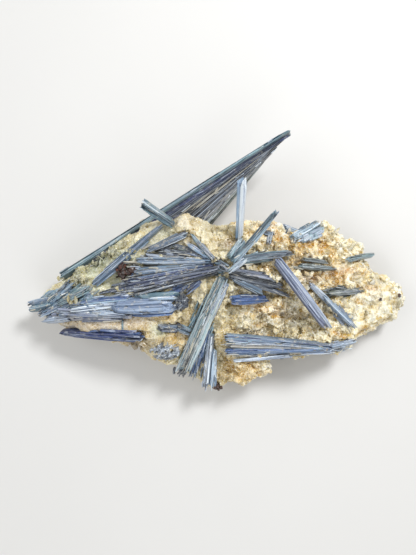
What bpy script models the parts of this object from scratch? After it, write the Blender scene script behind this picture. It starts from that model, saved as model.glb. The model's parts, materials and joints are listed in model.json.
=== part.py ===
"""Kyanite: bladed blue crystals grown through a lump of granular quartz, with a few dark garnets.

Metres, +Z up. The lump lies on its flat broken back, the side with the crystals up. The origin is on
that back, +X runs along the lump and +Y towards the side that the longest blade reaches past.
"""

import math
import random
from typing import NamedTuple

import bmesh
import bpy
from mathutils import Matrix, Vector, noise
from mathutils.geometry import intersect_point_line

MM = 0.001

# Places are read in mm on a level plane through the lump, as seen from an eye above the origin.
EYE_HEIGHT = 475.0
SIGHT_PLANE = 45.0

FIT_GAP = 0.3
SINK = 0.25  # share of a blade's thickness that its middle may lie under the rock's front
LATH_TWIST = 6.0  # most that one lath of a blade turns from the rest, in degrees
LATH_SPREAD = 0.5  # more room that the laths of one blade take up than a single lath
SIDE_FLAT = 0.76  # share of a lath's width that its flat broad face takes

# The rock: its outline at the rim, and how its front rises and falls
RIM_HEIGHT = 20.0
ROCK_OUTLINE = (
    (-141, -24), (-136, -11), (-126, -3), (-105, 11), (-84, 25), (-62, 41), (-52, 48), (-36, 52), (-27, 52),
    (-18, 57), (-11, 49), (-4, 46), (3, 43), (12, 42), (20, 47), (35, 48), (50, 47), (64, 42), (69, 37),
    (78, 40), (92, 46), (99, 45), (108, 37), (116, 29), (122, 25), (126, 31), (129, 23), (133, 17),
    (139, 13), (146, 4), (155, -5), (164, -6), (168, -19), (165, -29), (157, -37), (144, -42),
    (129, -49), (119, -58), (102, -63), (81, -67), (60, -70), (45, -78), (35, -85), (25, -93), (12, -95),
    (-2, -92), (-13, -84), (-25, -79), (-36, -71), (-45, -63), (-53, -61), (-67, -55), (-78, -50),
    (-99, -47), (-120, -43), (-134, -36),
)
FRONT_HEIGHT = 50.0
SWELLS = (  # x, y, radius and rise of each broad swell or hollow of the front
    (7, 9, 46, 17),
    (-62, -8, 40, 5),
    (-135, -22, 46, -14),
    (158, -20, 44, -16),
    (58, -40, 24, -8),
    (88, 8, 34, 5),
    (112, -38, 24, 5),
    (2, -92, 30, -14),
    (16, 30, 12, -7),
    (-15, 48, 16, 6),
    (104, 40, 16, 4),
)
RIM_SHARE = 0.64  # height at the rim, as a share of the full height
RIM_WIDTH = 15.0
BROW_INSET = 4.0
BROW_RISE = 0.75  # share of the height at which the sides turn in to the front
FOOT_INSET = 15.0
FOOT_RISE = 0.5
FOOT_REACH = 34.0
ROCK_GRID = 4.0
FACET_GRID = 2.6
ROCK_TRIANGLES = 1250
CRAGS = (  # cell size, step and tilt of the broken facets
    (26.0, 2.2, 6.0),
    (11.0, 1.2, 3.6),
)


class Blade(NamedTuple):
    """One blade of kyanite, from its root to its tip, in mm."""

    root: tuple
    tip: tuple
    width: tuple  # at the root and at the tip
    lift: tuple = (0, 0)  # how far its middle stands over the rock's front
    thick: float = 5
    roll: float = 0  # degrees that the broad face turns about the blade
    laths: int = 1
    chop: float = 0.4  # slope of the broken tip
    heights: tuple = (None, None)  # of the root and the tip over the back, where an end stands clear


# Front blades come first: a later crystal is cut back where it meets an earlier one.
CRYSTALS = {
    "upright_prism": [
        Blade((26, 30), (29, 85), (5.5, 7.2), thick=5, roll=-28, laths=2, heights=(None, 82), lift=(-1, 0), chop=0.1),
    ],
    "centre_spray": [
        # the short prism at the needle's foot
        Blade((18, 15), (29, 32), (7.5, 6.7), (5, 9), thick=7, roll=14, laths=2, chop=-0.2),
        Blade((16, 3), (32, 16), (4.0, 5.4), (5, 6), thick=4, roll=-20, chop=0.8),
        # the needle that rises out of the centre
        Blade((21, 12), (58, 56), (6.5, 3.6), thick=4.5, roll=24, laths=2, heights=(None, 92), lift=(0, 0), chop=1.2),
        # towards +X
        Blade((27, 16), (71, 21), (5.0, 6.0), (3, 2), thick=5, roll=18, laths=2, chop=0.9),
        Blade((27, 13), (57, 17), (3.6, 4.6), (2, 1), thick=5, roll=-24, chop=0.4),
        Blade((26, 11), (45, 14), (4.4, 2.8), (1, 0), thick=4, roll=-10, chop=0.4),
        Blade((17, 6), (52, 0), (4.6, 8.0), (2, 2), thick=6, roll=-16, laths=2, chop=0.9),
        Blade((17, 3), (62, -7), (4.4, 7.2), (2, 2), thick=6, roll=-6, laths=2, chop=0.9),
        Blade((18, 1), (70, -16), (4.2, 3.6), (1, 1), thick=5, roll=12, chop=0.6),
        Blade((20, 0), (46, -13), (4.2, 7.6), (1, 1), thick=6, roll=20, chop=0.4),
    ],
    "diagonal_prism": [
        Blade((56, 16), (101, -44), (7.7, 8.0), (4, 5), thick=7, roll=-14, laths=2, chop=-0.35),
    ],
    "lower_spray": [
        # the broad blade
        Blade((11, 1), (-24, -79), (5.0, 7.0), (2, 5), thick=7, roll=16, laths=3, chop=0.5),
        Blade((15, 1), (-18, -79), (5.0, 5.5), (1, 4), thick=7, roll=-10, laths=2, chop=0.2),
        Blade((16, -3), (-6, -48), (4.5, 4.5), (1, 1), thick=6, roll=-30, chop=0.5),
        # the wedge beside it
        Blade((0, -42), (-13, -82), (4.6, 8.0), (-1, 1), thick=6, roll=12, laths=2, chop=0.5),
        # the prism that ends in a point
        Blade((3, -47), (-2, -93), (3.6, 6.0), (2, 6), thick=7, roll=22, laths=2, chop=-0.5),
        Blade((5, -60), (3, -92), (2.8, 5.6), (1, 5), thick=7, roll=-24, chop=0.6),
    ],
    "left_spray": [
        # the lone needle
        Blade((5, 14), (-15, 37), (3.6, 3.2), (1, 3), thick=3.5, roll=20),
        # the spreading blades
        Blade((4, 13), (-61, 14), (3.6, 6.4), (1, 2), thick=6, roll=10),
        Blade((5, 12), (-62, 5), (3.6, 6.6), (1, 2), thick=6, roll=-18, laths=2),
        Blade((7, 10), (-71, -5), (4.0, 7.2), (2, 1), thick=6, roll=16, laths=2),
        Blade((9, 8), (-82, -11), (4.8, 8.0), (2, 1), thick=6, roll=-20, laths=2),
        Blade((9, 5), (-64, -15), (4.4, 5.6), (0, 1), thick=6, roll=14),
        Blade((-5, 19), (-44, 22), (2.8, 4.4), (0, 1), thick=4, roll=-16),
        Blade((-3, 20), (-32, 27), (2.8, 4.4), (0, 1), thick=4, roll=14),
        Blade((3, 15), (-18, 29), (2.8, 3.6), (0, 2), thick=4, roll=8),
    ],
    "left_end_crystals": [
        # the spindle and the two blades in line with it
        Blade((-82, -24), (-18, -20), (6.6, 9.6), (2, 3), thick=8, roll=-8, laths=3, chop=0.2),
        Blade((-66, -29), (-22, -25), (4.0, 5.6), (1, 2), thick=7, roll=24, laths=1, chop=-0.4),
        Blade((-66, -18), (-17, -14), (3.4, 5.0), (2, 3), thick=7, roll=-26, laths=1, chop=0.2),
        Blade((-116, -28), (-71, -22), (4.4, 6.2), (1, 2), thick=6, roll=-10, laths=2),
        Blade((-108, -21), (-64, -17), (3.4, 4.4), (1, 2), thick=6, roll=14),
        # under the spindle
        Blade((-126, -29), (-67, -33), (5.9, 3.6), (1, 2), thick=6, roll=-10, laths=2, chop=0.3),
        Blade((-108, -35), (-70, -34), (4.2, 3.6), (1, 1), thick=6, roll=16),
        Blade((-114, -34), (-139, -37), (5.0, 4.6), (2, 2), thick=6, roll=14),
    ],
    "left_tip_crystals": [
        Blade((-128, -20), (-150, -25), (7.6, 7.6), thick=9, roll=14, laths=2, heights=(None, 26), chop=0.1),
        Blade((-112, -2), (-139, -27), (6.7, 6.7), (1, 2), thick=7, roll=-20, laths=2),
        Blade((-112, -18), (-141, -32), (5.9, 6.7), (1, 2), thick=7, roll=10, laths=2),
        Blade((-100, -9), (-126, -22), (5.9, 5.4), (2, 4), thick=6, roll=-12),
    ],
    "navy_blade": [
        Blade((-123, -45), (-54, -50), (5.0, 8.4), (0, 1), thick=9, roll=24, laths=3, chop=0.3),
    ],
    "upper_left_blade": [
        Blade((-97, -6), (-38, 44), (5.6, 3.4), (2, 2), thick=6, roll=-24, laths=2, chop=0.6),
    ],
    "slanted_blade": [
        Blade((-52, 22), (-16, 38), (3.4, 5.2), (0, 0), thick=5, roll=18, laths=2),
    ],
    "stub_prism": [
        Blade((-28, 44), (-56, 63), (6.0, 8.0), thick=8, roll=-32, laths=2, heights=(None, 62), lift=(-1, 0), chop=0.2),
    ],
    "fan_crystal": [
        Blade((-124, 0), (70, 123), (5.9, 3.6), thick=8, roll=-26, heights=(23, 50), chop=0.9),
        Blade((-96, 13), (68, 121), (7.4, 3.8), thick=6, roll=14, heights=(26, 49), chop=0.9),
        Blade((-68, 25), (65, 118.5), (7.6, 4.0), thick=5, roll=24, heights=(27, 49), chop=0.8),
        Blade((-44, 33), (61, 115), (8.0, 4.0), thick=5, roll=12, heights=(28, 48), chop=0.8),
        Blade((-26, 38), (57, 111), (8.2, 4.0), thick=5, roll=24, heights=(29, 47), chop=0.8),
        Blade((-13, 41), (52, 105), (7.6, 4.0), thick=5, roll=10, heights=(30, 46), chop=0.8),
        Blade((-3, 43), (45, 98), (6.6, 3.6), thick=5, roll=30, heights=(30, 44), chop=0.8),
    ],
    "bottom_fan": [
        Blade((104, -58), (13, -50), (5.0, 8.4), (2, 3), thick=6, roll=-12, laths=2),
        Blade((102, -60), (13, -62), (4.4, 7.8), (2, 3), thick=6, roll=10, laths=2),
        Blade((98, -58), (13, -56), (3.0, 4.0), (0, 1), thick=5, roll=0),
        Blade((77, -63), (107, -61), (4.2, 6.7), (2, 3), thick=6, roll=-16, laths=2),
        Blade((102, -58), (125, -53), (4.2, 5.0), (1, 1), thick=5, roll=12),
    ],
    "bottom_strip": [
        Blade((71, -65), (21, -70), (3.4, 3.0), (2, 2), thick=4, roll=-18),
    ],
    "diagonal_blade": [
        Blade((84, -4), (120, -40), (3.6, 4.2), (1, 1), thick=4, roll=-14),
        Blade((95, -14), (124, -43), (6.0, 5.0), (2, 3), thick=5, roll=-8, laths=2, chop=-0.3),
    ],
    "blade_in_quartz": [
        Blade((18, -19), (50, -17), (8.4, 6.0), (1, 1), thick=6, roll=10, laths=3, chop=0.6),
    ],
    "top_right_blade": [
        Blade((70, 33), (93, 46), (6.9, 6.0), thick=6, roll=-22, laths=2, heights=(46, 40)),
        Blade((70, 28), (86, 37), (4.6, 4.6), thick=5, roll=16, heights=(48, 42)),
    ],
    "right_blade_upper": [
        Blade((79, 16), (101, 13), (2.6, 3.4), (1, 1), thick=4, roll=12),
    ],
    "right_blade_middle": [
        Blade((75, 10), (108, 7), (4.6, 3.6), (1, 1), thick=5, roll=-12, laths=2),
    ],
    "right_blade_lower": [
        Blade((100, -13), (129, -11), (3.4, 5.4), (1, 1), thick=5, roll=14, laths=2),
    ],
    "right_edge_blade": [
        Blade((118, 15), (139, 19), (4.0, 4.4), (1, 2), thick=5, roll=-16),
    ],
    "grey_plate": [
        Blade((45, 38), (56, 37), (3.4, 3.6), (1, 1), thick=4, roll=8),
        Blade((53, 39), (50, 26), (3.6, 3.6), (1, 1), thick=4, roll=-8),
    ],
    "lower_left_stubs": [
        Blade((-42, -42), (-23, -42), (5.0, 6.0), (2, 2), thick=6, roll=16, laths=2),
        Blade((-27, -41), (-15, -47), (6.7, 6.0), (2, 1), thick=6, roll=-18, laths=2),
    ],
    "back_blade_left": [
        Blade((-96, 6), (-30, 46), (8.0, 6.0), thick=7, roll=70, laths=2, heights=(13, 15)),
    ],
    "back_blade_right": [
        Blade((62, 42), (128, 15), (7.0, 8.0), thick=6, roll=-66, laths=2, heights=(16, 13)),
    ],
    "side_blade_right": [
        Blade((58, -66), (132, -44), (7.0, 5.0), thick=6, roll=64, laths=2, heights=(14, 15)),
    ],
}


class Garnets(NamedTuple):
    """A cluster of dark garnet grains, in mm."""

    centre: tuple
    spread: tuple
    grain: float
    count: int
    lift: float = 1.0


GARNETS = {
    "garnet_cluster_left": Garnets((-68, 6), (6.0, 6.5), 4.3, 10),
    "garnet_cluster_bottom": Garnets((8, -91), (4.4, 2.4), 3.2, 5),
    "garnet_right": Garnets((161, -16), (1.4, 2.0), 2.2, 3),
    "garnet_flake_left": Garnets((-80, 10), (2.6, 1.0), 1.9, 2),
    "garnet_flake_right": Garnets((145, -18), (1.0, 1.4), 1.9, 2),
}

COLOURS = {  # base colour, roughness
    "quartz": ((0.62, 0.52, 0.36, 1.0), 0.55),
    "kyanite": ((0.13, 0.20, 0.36, 1.0), 0.38),
    "garnet": ((0.05, 0.012, 0.008, 1.0), 0.35),
}


def sighted(x, y, z):
    """The point at height z that is seen at x, y on the sight plane."""
    nearness = (EYE_HEIGHT - z) / (EYE_HEIGHT - SIGHT_PLANE)
    return Vector((x * nearness, y * nearness, z))


RIM = [sighted(x, y, RIM_HEIGHT).to_2d() for x, y in ROCK_OUTLINE]
RIM_SIDES = [(RIM[i - 1], RIM[i]) for i in range(len(RIM))]


def nearest_on_rim(point):
    """The place on the rim's outline that is nearest to a flat point."""
    nearest = None
    for start, end in RIM_SIDES:
        foot, share = intersect_point_line(point, start, end)
        foot = foot.to_2d() if 0 <= share <= 1 else (start if share < 0 else end)
        if nearest is None or (foot - point).length < (nearest - point).length:
            nearest = foot
    return nearest


def is_inside_rim(point):
    """Whether a flat point lies inside the rim's outline."""
    crossings = 0
    for start, end in RIM_SIDES:
        if (start.y > point.y) != (end.y > point.y):
            at_x = start.x + (point.y - start.y) / (end.y - start.y) * (end.x - start.x)
            crossings += point.x < at_x
    return crossings % 2 == 1


def depth_inside(point):
    """How far a flat point lies inside the rim's outline, or 0 outside it."""
    return (nearest_on_rim(point) - point).length if is_inside_rim(point) else 0.0


def plateau_height(x, y):
    """Height of the rock's front over its back inside the brow, before the broken facets."""
    height = FRONT_HEIGHT
    for at_x, at_y, radius, rise in SWELLS:
        height += rise * math.exp(-((x - at_x) ** 2 + (y - at_y) ** 2) / radius**2)
    share = min(1.0, max(BROW_INSET, depth_inside(Vector((x, y)))) / RIM_WIDTH)
    return height * (RIM_SHARE + (1 - RIM_SHARE) * share * (2 - share))


def crag_offset(point):
    """How far the broken facets lie out of the smooth form at a point."""
    offset = 0.0
    for cell, step, tilt in CRAGS:
        seed = noise.voronoi(point / cell)[1][0]
        lean = noise.cell_vector(seed * 37.7) - Vector((0.5, 0.5, 0.5))
        offset += step * (2 * noise.cell(seed * 53.1) - 1) + tilt * lean.dot(point / cell - seed)
    return offset


def front_height(x, y):
    """Height of the rock's front over its back, as it is seen from above."""
    edge = min(1.0, depth_inside(Vector((x, y))) / BROW_INSET)
    height = plateau_height(x, y) * (BROW_RISE + (1 - BROW_RISE) * edge)
    return height + crag_offset(Vector((x, y, height)))


def on_front(place, lift):
    """The point that is seen at a place and stands over the rock's front by a lift."""
    point = sighted(*place, SIGHT_PLANE)
    for _ in range(4):
        point = sighted(*place, front_height(point.x, point.y) + lift)
    return point


def material_named(name):
    """A plain material with the mineral's colour."""
    material = bpy.data.materials.get(name)
    if material is None:
        colour, roughness = COLOURS[name]
        material = bpy.data.materials.new(name)
        material.use_nodes = True
        shader = material.node_tree.nodes["Principled BSDF"]
        shader.inputs["Base Color"].default_value = colour
        shader.inputs["Roughness"].default_value = roughness
        shader.inputs["Metallic"].default_value = 0.0
        material.diffuse_color = colour
    return material


def new_collection(name, is_helper):
    """A collection under the scene's own. Helpers stay out of the render."""
    collection = bpy.data.collections.new(name)
    collection.hide_render = is_helper
    bpy.context.scene.collection.children.link(collection)
    return collection


def mesh_object(name, mesh, collection, mineral):
    """An object of a mesh, in a collection, with a mineral's material."""
    made = bpy.data.objects.new(name, mesh)
    mesh.materials.clear()
    mesh.materials.append(material_named(mineral))
    collection.objects.link(made)
    return made


def blade_frame(root, tip, roll):
    """The turn that lays +Z along the blade, +X across it and +Y out of its broad face."""
    along = (tip - root).normalized()
    across = along.cross(Vector((0, 0, 1))).normalized()
    out = across.cross(along)
    turn = Matrix((across, out, along)).transposed()
    return Matrix.Rotation(math.radians(roll), 3, along) @ turn


def add_lath(bm, root, tip, widths, thick, roll, chop, grow=0.0):
    """A flattened six-sided lath with bevelled sides and a slanted end."""
    frame = blade_frame(root, tip, roll)
    length = (tip - root).length
    lath = bmesh.ops.create_cone(bm, cap_ends=True, segments=6, radius1=1.0, radius2=1.0, depth=1.0)
    for vertex in lath["verts"]:
        share = vertex.co.z + 0.5
        width = widths[0] + (widths[1] - widths[0]) * share + 2 * grow
        is_side_edge = abs(vertex.co.y) > 0.9
        reach = 0.5 if is_side_edge else 0.5 * SIDE_FLAT
        across = math.copysign(reach, vertex.co.y) * width
        depth = 0.0 if is_side_edge else math.copysign(0.5, vertex.co.x) * (thick + 2 * grow)
        end = length + chop * across * share + grow if share > 0.5 else -grow
        vertex.co = root + frame @ Vector((across, depth, end))


def ends_of(blade):
    """The root and the tip of a blade. Where it would sink into the front, it is raised to show."""
    root, tip = (
        on_front(place, lift) if height is None else sighted(*place, height)
        for place, lift, height in zip((blade.root, blade.tip), blade.lift, blade.heights)
    )
    if blade.heights != (None, None):
        return root, tip
    for _ in range(4):
        shares = [i / 10 for i in range(1, 10)]
        points = [root.lerp(tip, share) for share in shares]
        over = [point.z - front_height(point.x, point.y) for point in points]
        sunk = -SINK * blade.thick - min(over)
        if sunk <= 0:
            break
        share = shares[over.index(min(over))]
        spread = (1 - share) ** 2 + share**2
        root = sighted(*blade.root, root.z + sunk * (1 - share) / spread)
        tip = sighted(*blade.tip, tip.z + sunk * share / spread)
    return root, tip


def laths_of(blade, seed):
    """The root, tip, widths, thickness and roll of each lath that makes up a blade."""
    root, tip = ends_of(blade)
    if blade.laths == 1:
        return [(root, tip, blade.width, blade.thick, blade.roll)]
    dice = random.Random(seed)
    frame = blade_frame(root, tip, blade.roll)
    share = 1.3 / blade.laths
    laths = []
    for i in range(blade.laths):
        place = (i / (blade.laths - 1) - 0.5) * (1 - share)
        start = root + frame @ Vector((place * blade.width[0], 0, 0))
        end = tip + frame @ Vector((place * blade.width[1], 0, place * blade.width[1] * blade.chop))
        end = start + (end - start) * dice.uniform(0.93, 1.0)
        widths = (blade.width[0] * share, blade.width[1] * share)
        thick = blade.thick * dice.uniform(0.7, 1.0)
        laths.append((start, end, widths, thick, blade.roll + dice.uniform(-LATH_TWIST, LATH_TWIST)))
    return laths


def lath_object(name, lath, chop, grow, collection):
    """A helper object of one lath."""
    bm = bmesh.new()
    add_lath(bm, *lath, chop, grow)
    bmesh.ops.triangulate(bm, faces=bm.faces)
    bmesh.ops.recalc_face_normals(bm, faces=bm.faces)
    bmesh.ops.scale(bm, vec=(MM, MM, MM), verts=bm.verts)
    mesh = bpy.data.meshes.new(name)
    bm.to_mesh(mesh)
    bm.free()
    return mesh_object(name, mesh, collection, "kyanite")


def lath_objects(name, blades, collection):
    """One helper object for each lath of a crystal group."""
    made = []
    for i, blade in enumerate(blades):
        for lath in laths_of(blade, f"{name} {i}"):
            made.append(lath_object(f"{name}_lath", lath, blade.chop, 0.0, collection))
    return made


def socket_objects(name, blades, collection):
    """One helper object for the room that each blade of a crystal group takes up."""
    made = []
    for blade in blades:
        root, tip = ends_of(blade)
        grow = FIT_GAP + (0 if blade.laths == 1 else LATH_SPREAD)
        lath = (root, tip, blade.width, blade.thick, blade.roll)
        made.append(lath_object(f"{name}_socket", lath, blade.chop, grow, collection))
    return made


def grain_socket_objects(name, cluster, collection):
    """One helper object for the room that each garnet grain of a cluster takes up."""
    return grain_objects(name, cluster, collection, FIT_GAP)


def grain_objects(name, cluster, collection, grow=0.0):
    """One helper object for each garnet grain of a cluster."""
    dice = random.Random(name)
    made = []
    for i in range(cluster.count):
        turn, reach = dice.uniform(0, math.tau), math.sqrt(i / cluster.count)
        place = (
            cluster.centre[0] + math.cos(turn) * reach * cluster.spread[0],
            cluster.centre[1] + math.sin(turn) * reach * cluster.spread[1],
        )
        size = cluster.grain * dice.uniform(0.7, 1.15)
        spin = Matrix.Rotation(dice.uniform(0, math.tau), 4, Vector((dice.random(), dice.random(), 1)))
        bm = bmesh.new()
        grain = bmesh.ops.create_cube(bm, size=1.4 * size + 2 * grow)
        bmesh.ops.transform(bm, matrix=spin, verts=grain["verts"])
        bmesh.ops.translate(bm, vec=on_front(place, cluster.lift + dice.uniform(-1, 1)), verts=bm.verts)
        bmesh.ops.scale(bm, vec=(MM, MM, MM), verts=bm.verts)
        mesh = bpy.data.meshes.new(f"{name}_grain_{i}")
        bm.to_mesh(mesh)
        bm.free()
        made.append(mesh_object(mesh.name, mesh, collection, "garnet"))
    return made


def apply_modifiers(target):
    """Gives the object the mesh that its modifiers make, and takes them off."""
    bpy.context.view_layer.update()
    mesh = bpy.data.meshes.new_from_object(target.evaluated_get(bpy.context.evaluated_depsgraph_get()))
    target.modifiers.clear()
    target.data = mesh


def is_closed(mesh):
    """Whether every edge of a mesh joins exactly two faces."""
    bm = bmesh.new()
    bm.from_mesh(mesh)
    closed = len(bm.faces) > 0 and all(len(edge.link_faces) == 2 for edge in bm.edges)
    bm.free()
    return closed


def combine(target, other, operation):
    """Joins the other object to the target, or cuts it out. Where faces nearly touch, the exact
    solver can leave an open mesh, and the manifold solver takes its place."""
    before = target.data
    for solver in ("EXACT", "MANIFOLD"):
        target.data = before
        modifier = target.modifiers.new("combine", "BOOLEAN")
        modifier.operation = operation
        modifier.solver = solver
        modifier.object = other
        apply_modifiers(target)
        if is_closed(target.data):
            return


def keep_largest_body(target):
    """Drops the chips that a cut left loose, and merges what the cut left doubled."""
    bm = bmesh.new()
    bm.from_mesh(target.data)
    bmesh.ops.remove_doubles(bm, verts=bm.verts, dist=0.004 * MM)
    bmesh.ops.triangulate(bm, faces=bm.faces)
    largest, unseen = set(), set(bm.faces)
    while unseen:
        body, rim = set(), [unseen.pop()]
        while rim:
            face = rim.pop()
            body.add(face)
            beside = {other for edge in face.edges for other in edge.link_faces} & unseen
            unseen -= beside
            rim += beside
        largest = max(largest, body, key=len)
    bmesh.ops.delete(bm, geom=[face for face in bm.faces if face not in largest], context="FACES")
    bm.to_mesh(target.data)
    bm.free()


def box_of(made):
    """Lowest and highest corner of an object's mesh."""
    points = [vertex.co for vertex in made.data.vertices]
    low = Vector([min(point[i] for point in points) for i in range(3)])
    high = Vector([max(point[i] for point in points) for i in range(3)])
    return low, high


def boxes_meet(first, second):
    """Whether two boxes overlap."""
    return all(first[0][i] <= second[1][i] and second[0][i] <= first[1][i] for i in range(3))


def fused(name, pieces, collection):
    """One object of several overlapping helper objects."""
    mineral = pieces[0].data.materials[0].name
    made = mesh_object(name, pieces[0].data.copy(), collection, mineral)
    for piece in pieces[1:]:
        combine(made, piece, "UNION")
    return made


def shaped_rock_point(point, slab_height):
    """Moves a point of the straight-sided slab to its place in the rock's rounded form."""
    flat = Vector((point.x, point.y))
    rise = min(1.0, max(0.0, point.z / slab_height))
    foot = nearest_on_rim(flat)
    inside_by = (foot - flat).length
    inward = (flat - foot).normalized() if inside_by > 0.5 else -foot.normalized()
    nearness = max(0.0, 1 - inside_by / FOOT_REACH)
    low = max(0.0, 1 - rise / FOOT_RISE)
    high = max(0.0, (rise - BROW_RISE) / (1 - BROW_RISE))
    flat += inward * nearness * (FOOT_INSET * low**1.4 + BROW_INSET * high)
    return Vector((flat.x, flat.y, rise * plateau_height(flat.x, flat.y)))


def remeshed(mesh, grid, helpers):
    """The mesh on an even grid, as one closed surface that doesn't cut through itself."""
    lump = bpy.data.objects.new("lump", mesh)
    helpers.objects.link(lump)
    remesh = lump.modifiers.new("grid", "REMESH")
    remesh.mode = "VOXEL"
    remesh.voxel_size = grid * MM
    apply_modifiers(lump)
    return lump.data


def rock_slab(height, helpers):
    """The rim's outline as a straight-sided slab, remeshed to an even grid."""
    curve = bpy.data.curves.new("rock_outline", "CURVE")
    curve.dimensions = "2D"
    curve.fill_mode = "BOTH"
    curve.extrude = height / 2 * MM
    spline = curve.splines.new("POLY")
    spline.points.add(len(RIM) - 1)
    for control, corner in zip(spline.points, RIM):
        control.co = (corner.x * MM, corner.y * MM, 0, 1)
    spline.use_cyclic_u = True
    outline = bpy.data.objects.new("rock_outline", curve)
    outline.location.z = height / 2 * MM
    helpers.objects.link(outline)
    bpy.context.view_layer.update()
    mesh = bpy.data.meshes.new_from_object(outline.evaluated_get(bpy.context.evaluated_depsgraph_get()))
    mesh.transform(outline.matrix_world)
    bpy.data.objects.remove(outline)
    bm = bmesh.new()
    bm.from_mesh(mesh)
    bmesh.ops.remove_doubles(bm, verts=bm.verts, dist=0.01 * MM)
    bmesh.ops.recalc_face_normals(bm, faces=bm.faces)
    bm.to_mesh(mesh)
    bm.free()
    return remeshed(mesh, ROCK_GRID, helpers)


def quartz_rock(collection, helpers):
    """The lump of quartz: a rounded slab with broken facets and a flat back."""
    mesh = rock_slab(FRONT_HEIGHT, helpers)
    top = max(vertex.co.z for vertex in mesh.vertices) / MM
    for vertex in mesh.vertices:
        vertex.co = shaped_rock_point(vertex.co / MM, top) * MM
    mesh.update()
    normals = [vertex.normal.copy() for vertex in mesh.vertices]
    for vertex, normal in zip(mesh.vertices, normals):
        point = vertex.co / MM
        clear_of_back = min(1.0, max(0.0, point.z / 8))
        vertex.co += normal * crag_offset(point) * clear_of_back * MM
    mesh = remeshed(mesh, FACET_GRID, helpers)
    for vertex in mesh.vertices:
        if vertex.co.z < 1.5 * MM:
            vertex.co.z = 0.0
    rock = mesh_object("quartz_matrix", mesh, collection, "quartz")
    decimate = rock.modifiers.new("facets", "DECIMATE")
    decimate.ratio = min(1.0, ROCK_TRIANGLES / (2 * len(mesh.polygons)))
    apply_modifiers(rock)
    return rock


def main():
    """Builds the garnets and the crystals, and then the rock around them."""
    for old in list(bpy.data.objects):
        bpy.data.objects.remove(old)
    specimen = new_collection("kyanite", False)
    helpers = new_collection("helpers", True)

    sockets = []
    makers = [(name, design, lath_objects, socket_objects) for name, design in CRYSTALS.items()]
    makers += [(name, design, grain_objects, grain_socket_objects) for name, design in GARNETS.items()]
    for name, design, make_pieces, make_sockets in makers:
        pieces = make_pieces(name, design, helpers)
        made = fused(name, pieces, specimen)
        box = box_of(made)
        for socket in sockets:
            if boxes_meet(box_of(socket), box):
                combine(made, socket, "DIFFERENCE")
        keep_largest_body(made)
        sockets += make_sockets(name, design, helpers)

    rock = quartz_rock(specimen, helpers)
    combine(rock, fused("sockets", sockets, helpers), "DIFFERENCE")
    keep_largest_body(rock)
    for helper in list(helpers.objects):
        bpy.data.objects.remove(helper)
    bpy.data.collections.remove(helpers)


main()
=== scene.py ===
"""Looks of a kyanite specimen: bundles of blue laths grown through a lump of granular quartz, with a
few dark garnets. Metres, +Z up. The lump lies on its flat broken back, the side with the crystals up.
"""

import json
import math
import random
from typing import NamedTuple

import bmesh
import bpy
import numpy as np
from bpy.props import FloatProperty, FloatVectorProperty, IntProperty, PointerProperty
from mathutils import Matrix, Vector, noise
from mathutils.bvhtree import BVHTree
from mathutils.geometry import intersect_point_line

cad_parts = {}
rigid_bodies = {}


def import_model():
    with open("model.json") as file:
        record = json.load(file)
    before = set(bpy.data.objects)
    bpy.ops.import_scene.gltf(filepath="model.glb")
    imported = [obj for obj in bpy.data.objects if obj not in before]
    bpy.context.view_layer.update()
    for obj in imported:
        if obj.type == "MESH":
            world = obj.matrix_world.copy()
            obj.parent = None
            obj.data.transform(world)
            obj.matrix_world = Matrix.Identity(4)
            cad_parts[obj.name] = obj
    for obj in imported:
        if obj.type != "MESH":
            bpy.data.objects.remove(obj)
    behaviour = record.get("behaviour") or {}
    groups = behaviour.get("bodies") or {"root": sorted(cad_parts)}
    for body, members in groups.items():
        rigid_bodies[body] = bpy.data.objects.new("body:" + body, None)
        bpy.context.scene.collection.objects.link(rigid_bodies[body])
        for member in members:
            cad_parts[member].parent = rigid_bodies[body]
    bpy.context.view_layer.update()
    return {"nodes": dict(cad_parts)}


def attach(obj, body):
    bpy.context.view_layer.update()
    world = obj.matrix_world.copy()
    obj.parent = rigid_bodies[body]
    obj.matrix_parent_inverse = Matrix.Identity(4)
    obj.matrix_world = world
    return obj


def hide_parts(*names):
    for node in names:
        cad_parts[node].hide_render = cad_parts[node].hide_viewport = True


bl_info = {
    "name": "Kyanite Specimen",
    "version": (1, 0, 0),
    "blender": (4, 5, 0),
    "location": "3D View > Sidebar > Kyanite",
    "description": "Dresses the solids of a kyanite specimen with laths, quartz grains and garnets",
    "category": "Add Mesh",
}

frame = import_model()

MM = 0.001

# Places are read in mm on a level plane through the lump, as seen from an eye above the origin.
EYE_HEIGHT = 475.0
SIGHT_PLANE = 45.0
PICTURE_HEIGHT = 466.2  # what the picture's height spans on the sight plane, in mm
SENSOR = 36.0

# The form of the rock's front, which the blades lie on, as in the solids
SINK = 0.25
RIM_HEIGHT = 20.0
ROCK_OUTLINE = (
    (-141, -24), (-136, -11), (-126, -3), (-105, 11), (-84, 25), (-62, 41), (-52, 48), (-36, 52), (-27, 52),
    (-18, 57), (-11, 49), (-4, 46), (3, 43), (12, 42), (20, 47), (35, 48), (50, 47), (64, 42), (69, 37),
    (78, 40), (92, 46), (99, 45), (108, 37), (116, 29), (122, 25), (126, 31), (129, 23), (133, 17),
    (139, 13), (146, 4), (155, -5), (164, -6), (168, -19), (165, -29), (157, -37), (144, -42),
    (129, -49), (119, -58), (102, -63), (81, -67), (60, -70), (45, -78), (35, -85), (25, -93), (12, -95),
    (-2, -92), (-13, -84), (-25, -79), (-36, -71), (-45, -63), (-53, -61), (-67, -55), (-78, -50),
    (-99, -47), (-120, -43), (-134, -36),
)
FRONT_HEIGHT = 50.0
SWELLS = (
    (7, 9, 46, 17),
    (-62, -8, 40, 5),
    (-135, -22, 46, -14),
    (158, -20, 44, -16),
    (58, -40, 24, -8),
    (88, 8, 34, 5),
    (112, -38, 24, 5),
    (2, -92, 30, -14),
    (16, 30, 12, -7),
    (-15, 48, 16, 6),
    (104, 40, 16, 4),
)
RIM_SHARE = 0.64
RIM_WIDTH = 15.0
BROW_INSET = 4.0
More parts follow.
